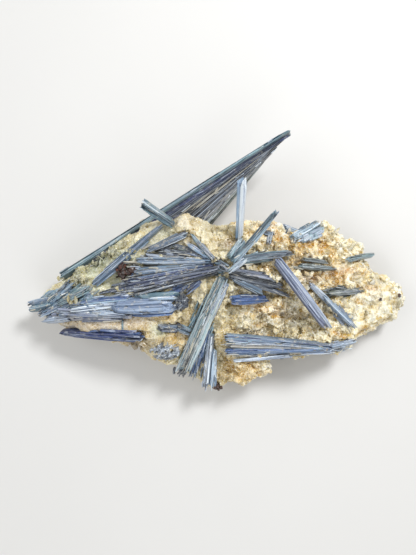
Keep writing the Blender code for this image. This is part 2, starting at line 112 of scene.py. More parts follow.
BROW_RISE = 0.75
CRAGS = (
    (26.0, 2.2, 6.0),
    (11.0, 1.2, 3.6),
)
GRAINS = (  # cell size, step and tilt of the small broken facets on top of them
    (9.0, 1.2, 4.6),
    (4.6, 0.6, 2.4),
)
PIT_CELL = 5.2  # size of the pits and bulges between the sharp edges of the broken quartz
PIT_DEPTH = 0.9


PIT_EDGE = 0.3  # width of a pit's sharp edge, as a share of its size

# How the laths of a blade are laid
CORE_LATH = 2.2  # width of the laths in its core, in mm
COVER = 2.4  # how often the narrow laths cover the core
PALE_STREAKS = 0.14  # share of the narrow laths that are white
# The nearly black laths are partly dark kyanite and partly painted shade in the grooves between laths
DARK_STREAKS = 0.34  # the same, with the nearly black ones

# How the quartz is dressed, in mm
ROCK_PROUD = 0.4  # how far the broken rock stands out of its solid
FLAT_BACK = 0.6  # the rock's points below this lie on the back
RIM_MARGIN = 3.0  # nearer to the outline than this no grains are strewn
COLLAR_MARGIN = 2.0  # nearer to the outline than this no grains overgrow the blades
GRAIN_SHAPE = ((0.3, 0.65), (0.8, 1.3), (1.0, 1.7))  # least and most of a grain's three sizes
# Fresh quartz gets the lightest tone and the painted light of a bulge: whiter, with no painted shade
LUMP_SIZE = 5.5  # grains over this size have the colour of fresh quartz
FRESH_END = -60  # and so have all that lie left of this


def linear(red, green, blue):
    """A colour in linear light, from its three values of 0 to 255."""

    def one(value):
        share = value / 255
        return share / 12.92 if share <= 0.04045 else ((share + 0.055) / 1.055) ** 2.4

    return (one(red), one(green), one(blue))


def colour_property(name, description, default):
    """A colour that a user may change."""
    return FloatVectorProperty(
        name=name, description=description, default=default, min=0, max=1, subtype="COLOR"
    )


class KyaniteColours(bpy.types.PropertyGroup):
    """Colours of the minerals."""

    ice: colour_property("Ice", "Whitish blue of split and worn blades", linear(212, 222, 230))
    pale: colour_property("Pale blue", "Pale grey-blue of thin blades", linear(162, 188, 208))
    steel: colour_property("Steel blue", "Middle blue of most blades", linear(114, 139, 162))
    bright: colour_property("Bright blue", "Clear blue of fresh cleavage faces", linear(82, 114, 166))
    navy: colour_property("Navy", "Deep blue of thick blades", linear(40, 58, 108))
    # Ink is partly dark kyanite and partly painted shade: between the laths and on the long fan's inner
    # face
    ink: colour_property("Ink", "Nearly black blue between the laths of the long fan", linear(30, 36, 46))
    slate: colour_property("Slate", "Dark blue-grey blades", linear(90, 98, 112))
    lavender: colour_property("Lavender", "Grey-violet blades", linear(122, 130, 156))
    haze: colour_property("Haze", "Violet-blue, smooth cleavage faces", linear(140, 161, 190))
    mist: colour_property("Mist", "Pale grey-violet blades", linear(178, 190, 206))
    teal: colour_property("Teal", "Green-grey blue blades", linear(90, 122, 136))
    sea: colour_property("Sea", "Pale green-blue blades", linear(138, 166, 174))
    moss: colour_property("Moss", "Grey-green blades in the quartz", linear(108, 117, 110))
    sand: colour_property("Sand", "Tan, weathered laths", linear(196, 190, 172))

    cream: colour_property("Cream quartz", "Most of the quartz", linear(230, 219, 182))
    chalk: colour_property("White quartz", "Crushed edges and the pale end", linear(248, 246, 230))
    # Chalk is also painted on the rock's sharp edges and bulges as light, partly crushed white quartz
    lichen: colour_property("Greenish quartz", "Quartz beside the long fan", linear(208, 214, 186))
    blush: colour_property("Pinkish quartz", "Quartz bands between the blades", linear(214, 200, 184))
    honey: colour_property("Honey quartz", "Yellow iron stain", linear(224, 188, 108))
    rust: colour_property("Rusty quartz", "Orange iron stain", linear(222, 168, 88))
    umber: colour_property("Brown quartz", "Brown, smoky lumps", linear(146, 122, 82))

    garnet: colour_property("Garnet", "Dark red-brown garnet", linear(40, 19, 9))
    # Painted glints, laid by noise in the garnet finish
    garnet_lit: colour_property("Garnet, lit", "Red glints inside the garnets", linear(84, 36, 17))
    floor: colour_property("Floor", "Pale studio floor", linear(204, 204, 203))


class KyaniteSizes(bpy.types.PropertyGroup):
    """Sizes of the small forms that the solids leave out."""

    rock_grid: FloatProperty(
        name="Rock grid", description="Spacing of the rock's surface points", default=0.001, unit="LENGTH"
    )
    rock_triangles: IntProperty(
        name="Rock facets", description="How many facets the quartz is broken in", default=180000
    )
    lath_width: FloatProperty(
        name="Lath width", description="Width of one lath of a blade", default=0.0011, unit="LENGTH"
    )
    grain_count: IntProperty(
        name="Quartz grains", description="How many grains are strewn over the quartz at most", default=1500
    )
    grain_small: FloatProperty(
        name="Small grains", description="Size of the grains at the left end", default=0.0016, unit="LENGTH"
    )
    grain_large: FloatProperty(
        name="Large grains", description="Size of the grains at the right end",
        default=0.0034, unit="LENGTH",
    )
    light_power: FloatProperty(
        name="Light", description="Power of the main light", default=11.5, unit="POWER"
    )


# ---------------------------------------------------------------------------
# Where the crystals are
# ---------------------------------------------------------------------------


class Blade(NamedTuple):
    """One blade of kyanite, from its root to its tip, in mm."""

    root: tuple
    tip: tuple
    width: tuple  # at the root and at the tip
    tones: tuple = ("steel", "pale")  # the colours that its laths are mixed from
    lift: tuple = (0, 0)  # how far the root and the tip stand over the rock's front
    thick: float = 5
    roll: float = 0  # turn about its length, in degrees
    chop: float = 0.4  # slant of the tip, as a share of the width
    heights: tuple = (None, None)  # of the root and the tip over the back, or None where the lift says it
    strips: int = 0  # how many broad laths it is split in, or 0 for a core under many narrow ones
    ends: tuple = (0.9, 0.55)  # share of the width that is left at the root and at the tip


CRYSTALS = {
    "upright_prism": [
        Blade(
            (26, 30), (29, 85), (5.5, 7.2), ("steel", "ice"), (-1, 0), 5, -28, 0.1, (None, 82), 2,
            (1, 0.95),
        ),
    ],
    "centre_spray": [
        Blade((18, 15), (29, 32), (7.5, 6.7), ("teal", "sea"), (5, 9), 7, 14, -0.2, ends=(1, 0.9)),
        Blade((16, 3), (32, 16), (4.0, 5.4), ("ice", "sea"), (5, 6), 4, -20, 0.8),
        Blade(
            (21, 12), (58, 56), (6.5, 3.6), ("teal", "pale"), (0, 0), 4.5, 24, 1.2, (None, 92),
            ends=(1, 0.8),
        ),
        Blade((27, 16), (71, 21), (5.0, 6.0), ("slate", "teal"), (3, 2), 5, 18, 0.9),
        Blade((27, 13), (57, 17), (3.6, 4.6), ("teal", "slate"), (2, 1), 5, -24, 0.4),
        Blade((26, 11), (45, 14), (4.4, 2.8), ("moss", "teal"), (1, 0), 4, -10, 0.4),
        Blade((17, 6), (52, 0), (4.6, 8.0), ("ink", "lavender"), (2, 2), 6, -16, 0.9, ends=(0.9, 0.8)),
        Blade((17, 3), (62, -7), (4.4, 7.2), ("ink", "slate"), (2, 2), 6, -6, 0.9, ends=(0.9, 0.7)),
        Blade((18, 1), (70, -16), (4.2, 3.6), ("slate", "slate"), (1, 1), 5, 12, 0.6),
        Blade((20, 0), (46, -13), (4.2, 7.6), ("ink", "steel"), (1, 1), 6, 20, 0.4),
    ],
    "diagonal_prism": [
        Blade(
            (56, 16), (101, -44), (7.7, 8.0), ("lavender", "mist"), (4, 5), 7, -14, -0.35, ends=(0.9, 0.7),
        ),
    ],
    "lower_spray": [
        Blade((11, 1), (-24, -79), (5.0, 7.6), ("sea", "sand"), (2, 5), 7, 16, 0.5, ends=(0.9, 0.8)),
        Blade((15, 1), (-18, -79), (5.0, 6.2), ("sea", "sand"), (1, 4), 7, -10, 0.2, ends=(0.9, 0.8)),
        Blade((16, -3), (-6, -48), (4.5, 4.5), ("mist", "steel"), (1, 1), 6, -30, 0.5),
        Blade((0, -42), (-13, -82), (4.6, 8.0), ("bright", "steel"), (-1, 1), 6, 12, 0.5),
        Blade((3, -47), (-2, -93), (3.6, 6.0), ("mist", "ice"), (2, 6), 7, 22, -0.5),
        Blade((5, -60), (3, -92), (2.8, 5.6), ("pale", "ice"), (1, 5), 7, -24, 0.6),
    ],
    "left_spray": [
        Blade((5, 14), (-15, 37), (3.6, 3.2), ("teal", "slate"), (1, 3), 3.5, 20),
        Blade((4, 13), (-61, 14), (3.6, 6.4), ("steel", "mist"), (1, 2), 6, 10),
        Blade((5, 12), (-62, 5), (3.6, 6.6), ("steel", "mist"), (1, 2), 6, -18),
        Blade((7, 10), (-71, -5), (4.0, 7.2), ("navy", "steel"), (2, 1), 6, 16),
        Blade((9, 8), (-82, -11), (4.8, 8.0), ("slate", "lavender"), (2, 1), 6, -20),
        Blade((9, 5), (-64, -15), (4.4, 5.6), ("ink", "slate"), (0, 1), 6, 14),
        Blade((-5, 19), (-44, 22), (2.8, 4.4), ("slate", "sand"), (0, 1), 4, -16),
        Blade((-3, 20), (-32, 27), (2.8, 4.4), ("slate", "moss"), (0, 1), 4, 14),
        Blade((3, 15), (-18, 29), (2.8, 3.6), ("steel", "lavender"), (0, 2), 4, 8),
    ],
    "left_end_crystals": [
        Blade(
            (-84, -25), (-25, -22), (12.0, 16.0), ("haze", "haze"), (2, 4), 8, -6, 0.2, strips=2,
            ends=(0.15, 0.45),
        ),
        Blade(
            (-64, -30), (-27, -28), (4.0, 4.6), ("haze", "bright"), (1, 2), 7, 24, -0.4, strips=2,
            ends=(0.2, 0.5),
        ),
        Blade(
            (-62, -17), (-21, -14), (3.4, 3.6), ("teal", "teal"), (2, 4), 7, -26, 0.2, strips=1,
            ends=(0.3, 0.5),
        ),
        Blade(
            (-50, -18), (-25, -17), (2.4, 3.8), ("ice", "pale"), (8, 8.5), 2, -20, 0.2, strips=2,
            ends=(0.1, 0.3),
        ),
        Blade(
            (-116, -28), (-71, -22), (4.4, 6.2), ("ice", "mist"), (1, 2), 6, -10, 0.4, strips=3,
            ends=(0.5, 0.7),
        ),
        Blade(
            (-108, -21), (-64, -17), (3.4, 4.4), ("bright", "pale"), (1, 2), 6, 14, 0.4, strips=2,
            ends=(0.5, 0.6),
        ),
        Blade((-126, -29), (-67, -33), (5.9, 3.6), ("mist", "lavender"), (1, 2), 6, -10, 0.3),
        Blade((-108, -35), (-70, -34), (4.2, 3.6), ("lavender", "sand"), (1, 1), 6, 16),
        Blade((-114, -34), (-139, -37), (5.0, 4.6), ("mist", "steel"), (2, 2), 6, 14),
    ],
    "left_tip_crystals": [
        Blade(
            (-128, -20), (-150, -25), (8.0, 9.0), ("teal", "steel"), (0, 0), 9, 14, 0.1, (None, 26), 2,
            (1, 0.85),
        ),
        Blade((-112, -2), (-139, -27), (6.7, 6.7), ("steel", "sea"), (1, 2), 7, -20),
        Blade((-112, -18), (-141, -32), (5.9, 6.7), ("steel", "lavender"), (1, 2), 7, 10),
        Blade((-100, -9), (-126, -22), (5.9, 5.4), ("sea", "slate"), (2, 4), 6, -12),
    ],
    "navy_blade": [
        Blade((-123, -45), (-54, -50), (5.0, 8.4), ("navy", "navy"), (0, 1), 9, 24, 0.3, ends=(0.3, 0.45)),
    ],
    "upper_left_blade": [
        Blade((-97, -6), (-38, 44), (7.4, 3.4), ("steel", "bright"), (2, 2), 6, -24, 0.6, ends=(0.6, 0.4)),
    ],
    "slanted_blade": [
        Blade((-52, 22), (-16, 38), (3.4, 5.2), ("slate", "steel"), (0, 0), 5, 18),
    ],
    "stub_prism": [
        Blade(
            (-28, 44), (-56, 63), (6.0, 8.0), ("teal", "sea"), (-1, 0), 8, -32, 0.2, (None, 62),
            ends=(0.9, 1),
        ),
    ],
    "fan_crystal": [
        Blade(
            (-124, 0), (70, 123), (5.9, 3.6), ("teal", "sea"), (0, 0), 8, -26, 0.9, (23, 50), ends=(1, 0.9),
        ),
        Blade(
            (-96, 13), (68, 121), (7.4, 3.8), ("navy", "slate"), (0, 0), 6, 14, 0.9, (26, 49),
            ends=(1, 0.9),
        ),
        Blade(
            (-68, 25), (65, 118.5), (7.6, 4.0), ("slate", "navy"), (0, 0), 5, 24, 0.8, (27, 49),
            ends=(1, 0.9),
        ),
        # The inner blades' ink is partly the painted shade of the fan's inner face
        Blade(
            (-44, 33), (61, 115), (8.0, 4.0), ("ink", "sand"), (0, 0), 5, 12, 0.8, (28, 48), ends=(1, 0.9),
        ),
        Blade(
            (-26, 38), (57, 111), (8.2, 4.0), ("ink", "mist"), (0, 0), 5, 24, 0.8, (29, 47), ends=(1, 0.9),
        ),
        Blade(
            (-13, 41), (52, 105), (7.6, 4.0), ("slate", "sand"), (0, 0), 5, 10, 0.8, (30, 46),
            ends=(1, 0.9),
        ),
        Blade((-3, 43), (45, 98), (6.6, 3.6), ("moss", "ice"), (0, 0), 5, 30, 0.8, (30, 44), ends=(1, 0.9)),
    ],
    "bottom_fan": [
        Blade((104, -58), (13, -50), (5.0, 8.4), ("steel", "navy"), (2, 3), 6, -12, ends=(1, 0.9)),
        Blade((102, -60), (13, -62), (4.4, 7.8), ("bright", "steel"), (2, 3), 6, 10, ends=(1, 0.8)),
        Blade((98, -58), (13, -56), (3.0, 4.0), ("sand", "slate"), (0, 1), 5, 0),
        Blade((77, -63), (107, -61), (4.2, 6.7), ("haze", "mist"), (2, 3), 6, -16),
        Blade((102, -58), (125, -53), (4.2, 5.0), ("mist", "steel"), (1, 1), 5, 12),
    ],
    "bottom_strip": [
        Blade((71, -65), (21, -70), (3.4, 3.0), ("ice", "mist"), (2, 2), 4, -18),
    ],
    "diagonal_blade": [
        Blade((84, -4), (120, -40), (3.6, 4.2), ("mist", "ice"), (1, 1), 4, -14),
        Blade((95, -14), (124, -43), (6.0, 5.0), ("steel", "mist"), (2, 3), 5, -8, -0.3, ends=(0.3, 0.6)),
    ],
    "blade_in_quartz": [
        Blade((18, -19), (50, -17), (8.4, 6.0), ("bright", "navy"), (1, 1), 6, 10, 0.6, ends=(0.6, 0.7)),
    ],
    "top_right_blade": [
        Blade(
            (70, 33), (93, 46), (6.9, 6.0), ("pale", "teal"), (0, 0), 6, -22, 0.4, (46, 40),
            ends=(0.4, 0.9),
        ),
        Blade(
            (70, 28), (86, 37), (4.6, 4.6), ("mist", "sea"), (0, 0), 5, 16, 0.4, (48, 42), ends=(0.6, 0.9),
        ),
    ],
    "right_blade_upper": [
        Blade((79, 16), (101, 13), (2.6, 3.4), ("moss", "slate"), (1, 1), 4, 12),
    ],
    "right_blade_middle": [
        Blade((75, 10), (108, 7), (4.6, 3.6), ("moss", "teal"), (1, 1), 5, -12, ends=(0.5, 0.4)),
    ],
    "right_blade_lower": [
        Blade((100, -13), (129, -11), (3.4, 5.4), ("moss", "slate"), (1, 1), 5, 14, ends=(0.4, 0.5)),
    ],
    "right_edge_blade": [
        Blade((118, 15), (139, 19), (4.0, 4.4), ("sea", "moss"), (1, 2), 5, -16),
    ],
    "grey_plate": [
        Blade((45, 38), (56, 37), (3.4, 3.6), ("slate", "steel"), (1, 1), 4, 8),
        Blade((53, 39), (50, 26), (3.6, 3.6), ("slate", "teal"), (1, 1), 4, -8),
    ],
    "lower_left_stubs": [
        Blade((-42, -42), (-23, -42), (5.0, 6.0), ("slate", "steel"), (2, 2), 6, 16),
        Blade((-27, -41), (-15, -47), (6.7, 6.0), ("slate", "teal"), (2, 1), 6, -18),
    ],
    "back_blade_left": [
        Blade((-96, 6), (-30, 46), (8.0, 6.0), ("steel", "slate"), (0, 0), 7, 70, 0.4, (13, 15)),
    ],
    "back_blade_right": [
        Blade((62, 42), (128, 15), (7.0, 8.0), ("steel", "mist"), (0, 0), 6, -66, 0.4, (16, 13)),
    ],
    "side_blade_right": [
        Blade((58, -66), (132, -44), (7.0, 5.0), ("slate", "steel"), (0, 0), 6, 64, 0.4, (14, 15)),
    ],
}


class Mat(NamedTuple):
    """Short laths strewn over the rock's front between the blades, in mm."""

    centre: tuple
    spread: tuple
    count: int
    tones: tuple
    heading: float = 0.0  # degrees from +X, unless the laths point at a focus
    fan: float = 12.0  # degrees that the heading varies to each side
    focus: tuple = ()
    length: tuple = (7, 20)  # least and most
    width: tuple = (0.9, 2.6)
    lift: float = 0.6


MATS = {
    "left_spray": [
        Mat((-36, 6), (34, 13), 110, ("slate", "sand"), fan=5, focus=(12, 9), length=(9, 26)),
        Mat(
            (-32, 4), (32, 13), 60, ("mist", "ice"), fan=5, focus=(12, 9), length=(5, 14), width=(0.6, 1.5),
            lift=1.6,
        ),
        Mat((-30, 0), (28, 12), 60, ("bright", "lavender"), fan=5, focus=(12, 9), length=(9, 24)),
        Mat((-26, 18), (22, 7), 40, ("slate", "mist"), fan=6, focus=(10, 11), length=(7, 18)),
    ],
    "centre_spray": [
        Mat((8, 8), (9, 6), 36, ("slate", "teal"), fan=25, focus=(20, 6), length=(5, 12), width=(0.8, 1.8)),
        Mat((36, -2), (12, 6), 24, ("slate", "lavender"), fan=5, focus=(12, 6), length=(8, 18)),
        Mat((46, 18), (12, 4), 18, ("teal", "moss"), fan=6, focus=(15, 12), length=(6, 14)),
    ],
    "lower_spray": [
        Mat(
            (-6, -44), (9, 26), 70, ("teal", "sea"), heading=66, fan=7, length=(7, 18), width=(0.7, 1.6),
            lift=2.0,
        ),
        Mat((-8, -64), (9, 16), 40, ("steel", "navy"), heading=78, fan=6, length=(8, 18), width=(0.8, 1.8)),
    ],
    "left_end_crystals": [
        Mat((-86, -24), (34, 8), 90, ("steel", "mist"), heading=3, fan=4, length=(8, 24), width=(1.2, 3.2)),
        Mat((-98, -31), (30, 5), 50, ("lavender", "sand"), heading=-1, fan=4, length=(8, 24)),
        Mat(
            (-86, -26), (32, 7), 50, ("sand", "ice"), heading=2, fan=6, length=(4, 12), width=(0.6, 1.4),
            lift=1.4,
        ),
        Mat((-70, -11), (18, 6), 36, ("slate", "mist"), heading=12, fan=7, length=(6, 16)),
        Mat(
            (-22, -20), (5, 6), 60, ("slate", "ink"), heading=40, fan=60, length=(3, 7), width=(1.2, 2.8),
            lift=5.0,
        ),
        Mat(
            (-72, -37), (0.1, 0.1), 1, ("teal", "teal"), heading=92, fan=1, length=(14, 14),
            width=(1.6, 1.6),
        ),
    ],
    "left_tip_crystals": [
        Mat(
            (-119, -18), (20, 8), 150, ("steel", "sea"), heading=28, fan=12, length=(3, 9),
            width=(1.4, 3.4), lift=0.6,
        ),
        Mat(
            (-130, -27), (14, 7), 80, ("lavender", "steel"), heading=16, fan=12, length=(3, 8),
            width=(1.2, 3.0), lift=0.6,
        ),
        Mat((-104, -11), (12, 4), 30, ("sea", "sand"), heading=36, fan=8, length=(5, 13)),
        Mat(
            (-118, -18), (18, 9), 40, ("sand", "ice"), heading=28, fan=9, length=(4, 10), width=(0.6, 1.4),
            lift=1.2,
        ),
    ],
    "navy_blade": [
        Mat((-88, -48), (34, 3.5), 44, ("navy", "bright"), heading=-3, fan=4, length=(8, 22)),
    ],
    "lower_left_stubs": [
        Mat(
            (-36, -62), (12, 7), 120, ("slate", "ice"), heading=50, fan=60, length=(2, 4.5),
            width=(0.9, 2.2), lift=0.7,
        ),
        Mat((-22, -80), (8, 4), 24, ("slate", "ink"), heading=60, fan=40, length=(4, 9)),
    ],
    "bottom_fan": [
        Mat((56, -57), (38, 4.5), 60, ("steel", "pale"), fan=2, focus=(150, -56), length=(10, 26)),
        Mat((50, -64), (30, 3), 34, ("sand", "mist"), heading=3, fan=3, length=(8, 20), width=(0.8, 1.6)),
        Mat(
            (40, -57), (24, 2.5), 20, ("sand", "ice"), heading=0, fan=3, length=(6, 16), width=(0.6, 1.3),
            lift=1.4,
        ),
        Mat(
            (108, -58), (12, 4), 30, ("mist", "ice"), heading=8, fan=8, length=(5, 12), width=(0.8, 1.8),
            lift=1.0,
        ),
    ],
    "right_blade_lower": [
        Mat(
            (112, -12), (16, 4), 34, ("moss", "slate"), heading=2, fan=16, length=(6, 16), width=(0.6, 1.2),
        ),
    ],
    "right_blade_middle": [
        Mat((90, 9), (16, 3), 20, ("moss", "sand"), heading=-4, fan=5, length=(6, 14), width=(0.7, 1.6)),
    ],
    "top_right_blade": [
        Mat(
            (83, 38), (13, 6), 70, ("sea", "mist"), heading=30, fan=6, length=(4, 12), width=(1.2, 3.0),
            lift=0.8,
        ),
    ],
    "slanted_blade": [
        Mat((-38, 26), (14, 3), 16, ("slate", "sand"), heading=22, fan=6, length=(6, 14), width=(0.7, 1.6)),
    ],
    "diagonal_blade": [
        Mat(
            (114, -33), (9, 7), 16, ("mist", "steel"), heading=-46, fan=3, length=(6, 14), width=(0.8, 1.6),
        ),
    ],
}

# How thickly the laths of a node are dusted with crumbs of quartz, from 0 to 1
CRUST = {
    "left_spray": 0.7, "left_end_crystals": 0.5, "left_tip_crystals": 0.8, "bottom_fan": 0.5,
    "top_right_blade": 0.8,
    "navy_blade": 0.3, "slanted_blade": 0.6, "fan_crystal": 0.25, "lower_spray": 0.3, "centre_spray": 0.2,
    "upright_prism": 0.0, "diagonal_prism": 0.0, "lower_left_stubs": 1.0,
}

# How thickly short splinters lie on the blades of a node, in splinters to 40 square mm
SPLINTERS = {
    "lower_spray": 3.0, "left_spray": 1.0, "left_tip_crystals": 1.6, "left_end_crystals": 0.3,
    "fan_crystal": 0.5,
    "centre_spray": 0.8, "bottom_fan": 0.5, "top_right_blade": 1.5, "navy_blade": 0.6,
}

# Blades whose edges and ends are overgrown by grains of quartz. Grains are held by these and the next ones.
OVERGROWN = (
    "left_spray", "left_end_crystals", "navy_blade", "upper_left_blade", "slanted_blade", "bottom_fan",
    "bottom_strip", "blade_in_quartz", "top_right_blade", "right_blade_upper", "right_blade_middle",
    "right_blade_lower", "right_edge_blade", "grey_plate", "lower_left_stubs", "diagonal_blade",
)
HOLDING = ("fan_crystal", "back_blade_left", "left_tip_crystals", *OVERGROWN)


class Garnets(NamedTuple):
    """A cluster of dark garnet grains, in mm."""

    centre: tuple
    spread: tuple
    grain: float
    count: int
    lift: float = 1.0


GARNETS = {
    "garnet_cluster_left": Garnets((-68, 5), (6.6, 7.4), 4.3, 13),
    "garnet_cluster_bottom": Garnets((8, -91), (4.4, 2.4), 3.2, 5),
    "garnet_right": Garnets((161, -16), (1.4, 2.0), 2.2, 3),
    "garnet_flake_left": Garnets((-80, 10), (2.6, 1.0), 1.9, 2),
    "garnet_flake_right": Garnets((145, -18), (1.0, 1.4), 1.9, 2),
}


# Lumps of quartz: x, y, size and lift over the rock's front, in mm
LUMPS = (
    (-47, -46, 10.0, 3), (-27, -35, 9.0, 3), (-36, -54, 8.5, 2.5), (-62, -57, 9.0, 0),
    (-54, -55, 7.0, 0.5), (-20, -33, 6.0, 2), (-40, -38, 6.0, 1), (58, 27, 7.0, 0), (66, 22, 6.0, 0),
    (36, -26, 6.5, 0), (64, -24, 7.0, 0), (46, -42, 8.0, 0), (70, -40, 7.0, 0), (28, -36, 7.0, 0),
    (84, -30, 6.0, 0), (40, 44, 7.0, 0), (60, 42, 7.5, 0), (-14, 48, 8.0, 0), (4, 40, 7.0, 0),
    (-90, 12, 5.0, 0), 
    (-117, -17, 9.0, 6), (-112, -19, 9.0, 6), (-115, -21, 8.0, 6), (-88, -13, 4.5, 4), (161, -12, 5.0, 0),
    (162, -22, 5.0, 0), (-75, -9, 5.0, 3),
    (-110, -15, 4.5, 4),
)
# Grains that stick to the blades or fill the slot beside the fan: centre, spread, number, size and lift
CLOTS = (
    ((-119, -3), (10, 4), 60, 3.0, 4.5),
    ((-106, 1), (9, 5), 60, 3.0, 3.0),
    ((-115, -18), (5, 3), 24, 3.2, 6.5),
    ((-66, 20), (8, 4), 40, 3.0, 3.5),
    ((-74, 28), (7, 4), 34, 3.0, 1.0),
    ((-104, 7), (8, 4), 40, 4.0, -2.0),
    ((-94, 13), (9, 5), 80, 5.0, -5.0),
    ((-84, 20), (9, 5), 80, 5.0, -5.0),
    ((-75, -10), (5, 2), 16, 2.6, 3.5),
    ((-56, -28), (14, 1.5), 16, 2.2, 4.0),
)
# Thin white plates of quartz at the right: root, tip, heights and width
SHARDS = (
    ((110, 14), (126, 31), (34, 42), 7.0),
    ((118, 12), (127, 23), (32, 38), 6.0),
    ((104, 34), (110, 41), (34, 39), 5.0),
    ((92, 40), (97, 46), (36, 42), 6.0),
    ((66, 36), (70, 42), (38, 42), 5.0),
)


class Stain(NamedTuple):
    """A patch of differently coloured quartz, placed as it is seen, in mm. A few are painted shade and
    painted highlights instead.
    """

    centre: tuple
    spread: tuple
    colour: str
    strength: float


STAINS = (
    Stain((-90, 10), (52, 30), "lichen", 1.0),
    Stain((-100, -40), (50, 9), "blush", 0.9),
    Stain((-22, 40), (16, 14), "blush", 0.8),
    Stain((10, 42), (30, 14), "cream", 0.9),
    Stain((-34, 38), (14, 7), "lichen", 0.6),
    Stain((18, 28), (9, 5), "umber", 1.0),
    Stain((28, 50), (16, 8), "honey", 0.6),
    Stain((56, 44), (16, 14), "rust", 0.5),
    Stain((84, 26), (16, 9), "honey", 1.0),
    Stain((78, 14), (10, 6), "rust", 0.5),
    Stain((110, 0), (22, 16), "honey", 0.7),
    Stain((96, 2), (12, 4), "rust", 0.6),
    Stain((150, -20), (34, 34), "chalk", 0.9),
    Stain((136, -10), (9, 5), "rust", 0.5),
    # Partly brown quartz, partly painted shade of the hollow beside the diagonal prism
    Stain((52, -36), (30, 16), "umber", 0.5),
    Stain((58, -26), (10, 6), "rust", 0.5),
    Stain((22, -30), (16, 30), "cream", 0.8),
    Stain((50, 8), (14, 6), "honey", 0.7),
    Stain((-40, -40), (30, 16), "honey", 0.3),
    Stain((-60, -56), (14, 9), "umber", 0.9),
    Stain((30, -78), (22, 12), "honey", 0.8),
    Stain((100, -50), (30, 14), "cream", 0.9),
    Stain((112, 6), (16, 3), "rust", 0.9),
    Stain((86, -2), (9, 3), "rust", 0.8),
    Stain((72, 34), (9, 5), "honey", 0.9),
    Stain((94, 30), (10, 6), "honey", 0.9),
    Stain((44, -24), (12, 5), "rust", 0.7),
    # Partly brown quartz, partly painted shade on the diagonal prism's lower left
    Stain((70, -32), (12, 5), "umber", 0.7),
    Stain((38, -46), (10, 6), "umber", 0.5),
    # Painted highlight: white glints in the hollow
    Stain((56, -40), (8, 6), "chalk", 0.7),
    Stain((34, -30), (7, 6), "chalk", 0.6),
    Stain((-38, -33), (9, 4), "honey", 0.6),
    Stain((-68, -36), (24, 5), "blush", 0.9),
    Stain((-28, -52), (10, 8), "honey", 0.9),
    Stain((-40, -44), (9, 7), "lichen", 0.9),
    Stain((44, 14), (12, 6), "chalk", 0.5),
)


def sighted(x, y, z):
    """The point at height z that is seen at x, y on the sight plane."""
    nearness = (EYE_HEIGHT - z) / (EYE_HEIGHT - SIGHT_PLANE)
    return Vector((x * nearness, y * nearness, z))


RIM = [sighted(x, y, RIM_HEIGHT).to_2d() for x, y in ROCK_OUTLINE]
RIM_SIDES = [(RIM[i - 1], RIM[i]) for i in range(len(RIM))]


def depth_inside(point):
    """How far a flat point lies inside the rim's outline, or 0 outside it."""
    nearest, crossings = math.inf, 0
    for start, end in RIM_SIDES:
        foot, share = intersect_point_line(point, start, end)
        foot = foot.to_2d() if 0 <= share <= 1 else (start if share < 0 else end)
        nearest = min(nearest, (foot - point).length)
        if (start.y > point.y) != (end.y > point.y):
            at_x = start.x + (point.y - start.y) / (end.y - start.y) * (end.x - start.x)
            crossings += point.x < at_x
    return nearest if crossings % 2 else 0.0


def plateau_height(x, y):
    """Height of the rock's front over its back inside the brow, before the broken facets."""
    height = FRONT_HEIGHT
    for at_x, at_y, radius, rise in SWELLS:
        height += rise * math.exp(-((x - at_x) ** 2 + (y - at_y) ** 2) / radius**2)
    share = min(1.0, max(BROW_INSET, depth_inside(Vector((x, y)))) / RIM_WIDTH)
    return height * (RIM_SHARE + (1 - RIM_SHARE) * share * (2 - share))


def facet_offset(point, facets):
    """How far the broken facets of some cell sizes lie out of the smooth form at a point."""
    offset = 0.0
    for cell, step, tilt in facets:
        seed = noise.voronoi(point / cell)[1][0]
        lean = noise.cell_vector(seed * 37.7) - Vector((0.5, 0.5, 0.5))
        offset += step * (2 * noise.cell(seed * 53.1) - 1) + tilt * lean.dot(point / cell - seed)
    return offset


def pit_at(point):
    """How far a point lies from the edges of its pit, from 0 to 1, and how deep the pit is.

    A bulge has a depth below 0.
    """
    distances, centres = noise.voronoi(point / PIT_CELL)
    away = min(1.0, (distances[1] - distances[0]) / PIT_EDGE)
    return away, 1.7 * noise.cell(centres[0] * 71.9) - 0.6


def front_height(x, y):
    """Height of the rock's front over its back, as it is seen from above."""
    edge = min(1.0, depth_inside(Vector((x, y))) / BROW_INSET)
    height = plateau_height(x, y) * (BROW_RISE + (1 - BROW_RISE) * edge)
    return height + facet_offset(Vector((x, y, height)), CRAGS)


def on_front(place, lift):
    """The point that is seen at a place and stands over the rock's front by a lift."""
    point = sighted(*place, SIGHT_PLANE)
    for _ in range(4):
        point = sighted(*place, front_height(point.x, point.y) + lift)
    return point


def blade_frame(root, tip, roll):
    """The turn that lays +Z along the blade, +X across it and +Y out of its broad face."""
    along = (tip - root).normalized()
    across = along.cross(Vector((0, 0, 1))).normalized()
    out = across.cross(along)
    turn = Matrix((across, out, along)).transposed()
    return Matrix.Rotation(math.radians(roll), 3, along) @ turn


def ends_of(blade):
    """The root and the tip of a blade. Where it would sink into the front, it is raised to show."""
    root, tip = (
        on_front(place, lift) if height is None else sighted(*place, height)
        for place, lift, height in zip((blade.root, blade.tip), blade.lift, blade.heights)
    )
    if blade.heights != (None, None):
        return root, tip
    for _ in range(4):
        shares = [i / 10 for i in range(1, 10)]
        points = [root.lerp(tip, share) for share in shares]
        over = [point.z - front_height(point.x, point.y) for point in points]
        sunk = -SINK * blade.thick - min(over)
        if sunk <= 0:
            break
        share = shares[over.index(min(over))]
        spread = (1 - share) ** 2 + share**2
        root = sighted(*blade.root, root.z + sunk * (1 - share) / spread)
        tip = sighted(*blade.tip, tip.z + sunk * share / spread)
    return root, tip


# ---------------------------------------------------------------------------
# Modelling helpers
# ---------------------------------------------------------------------------


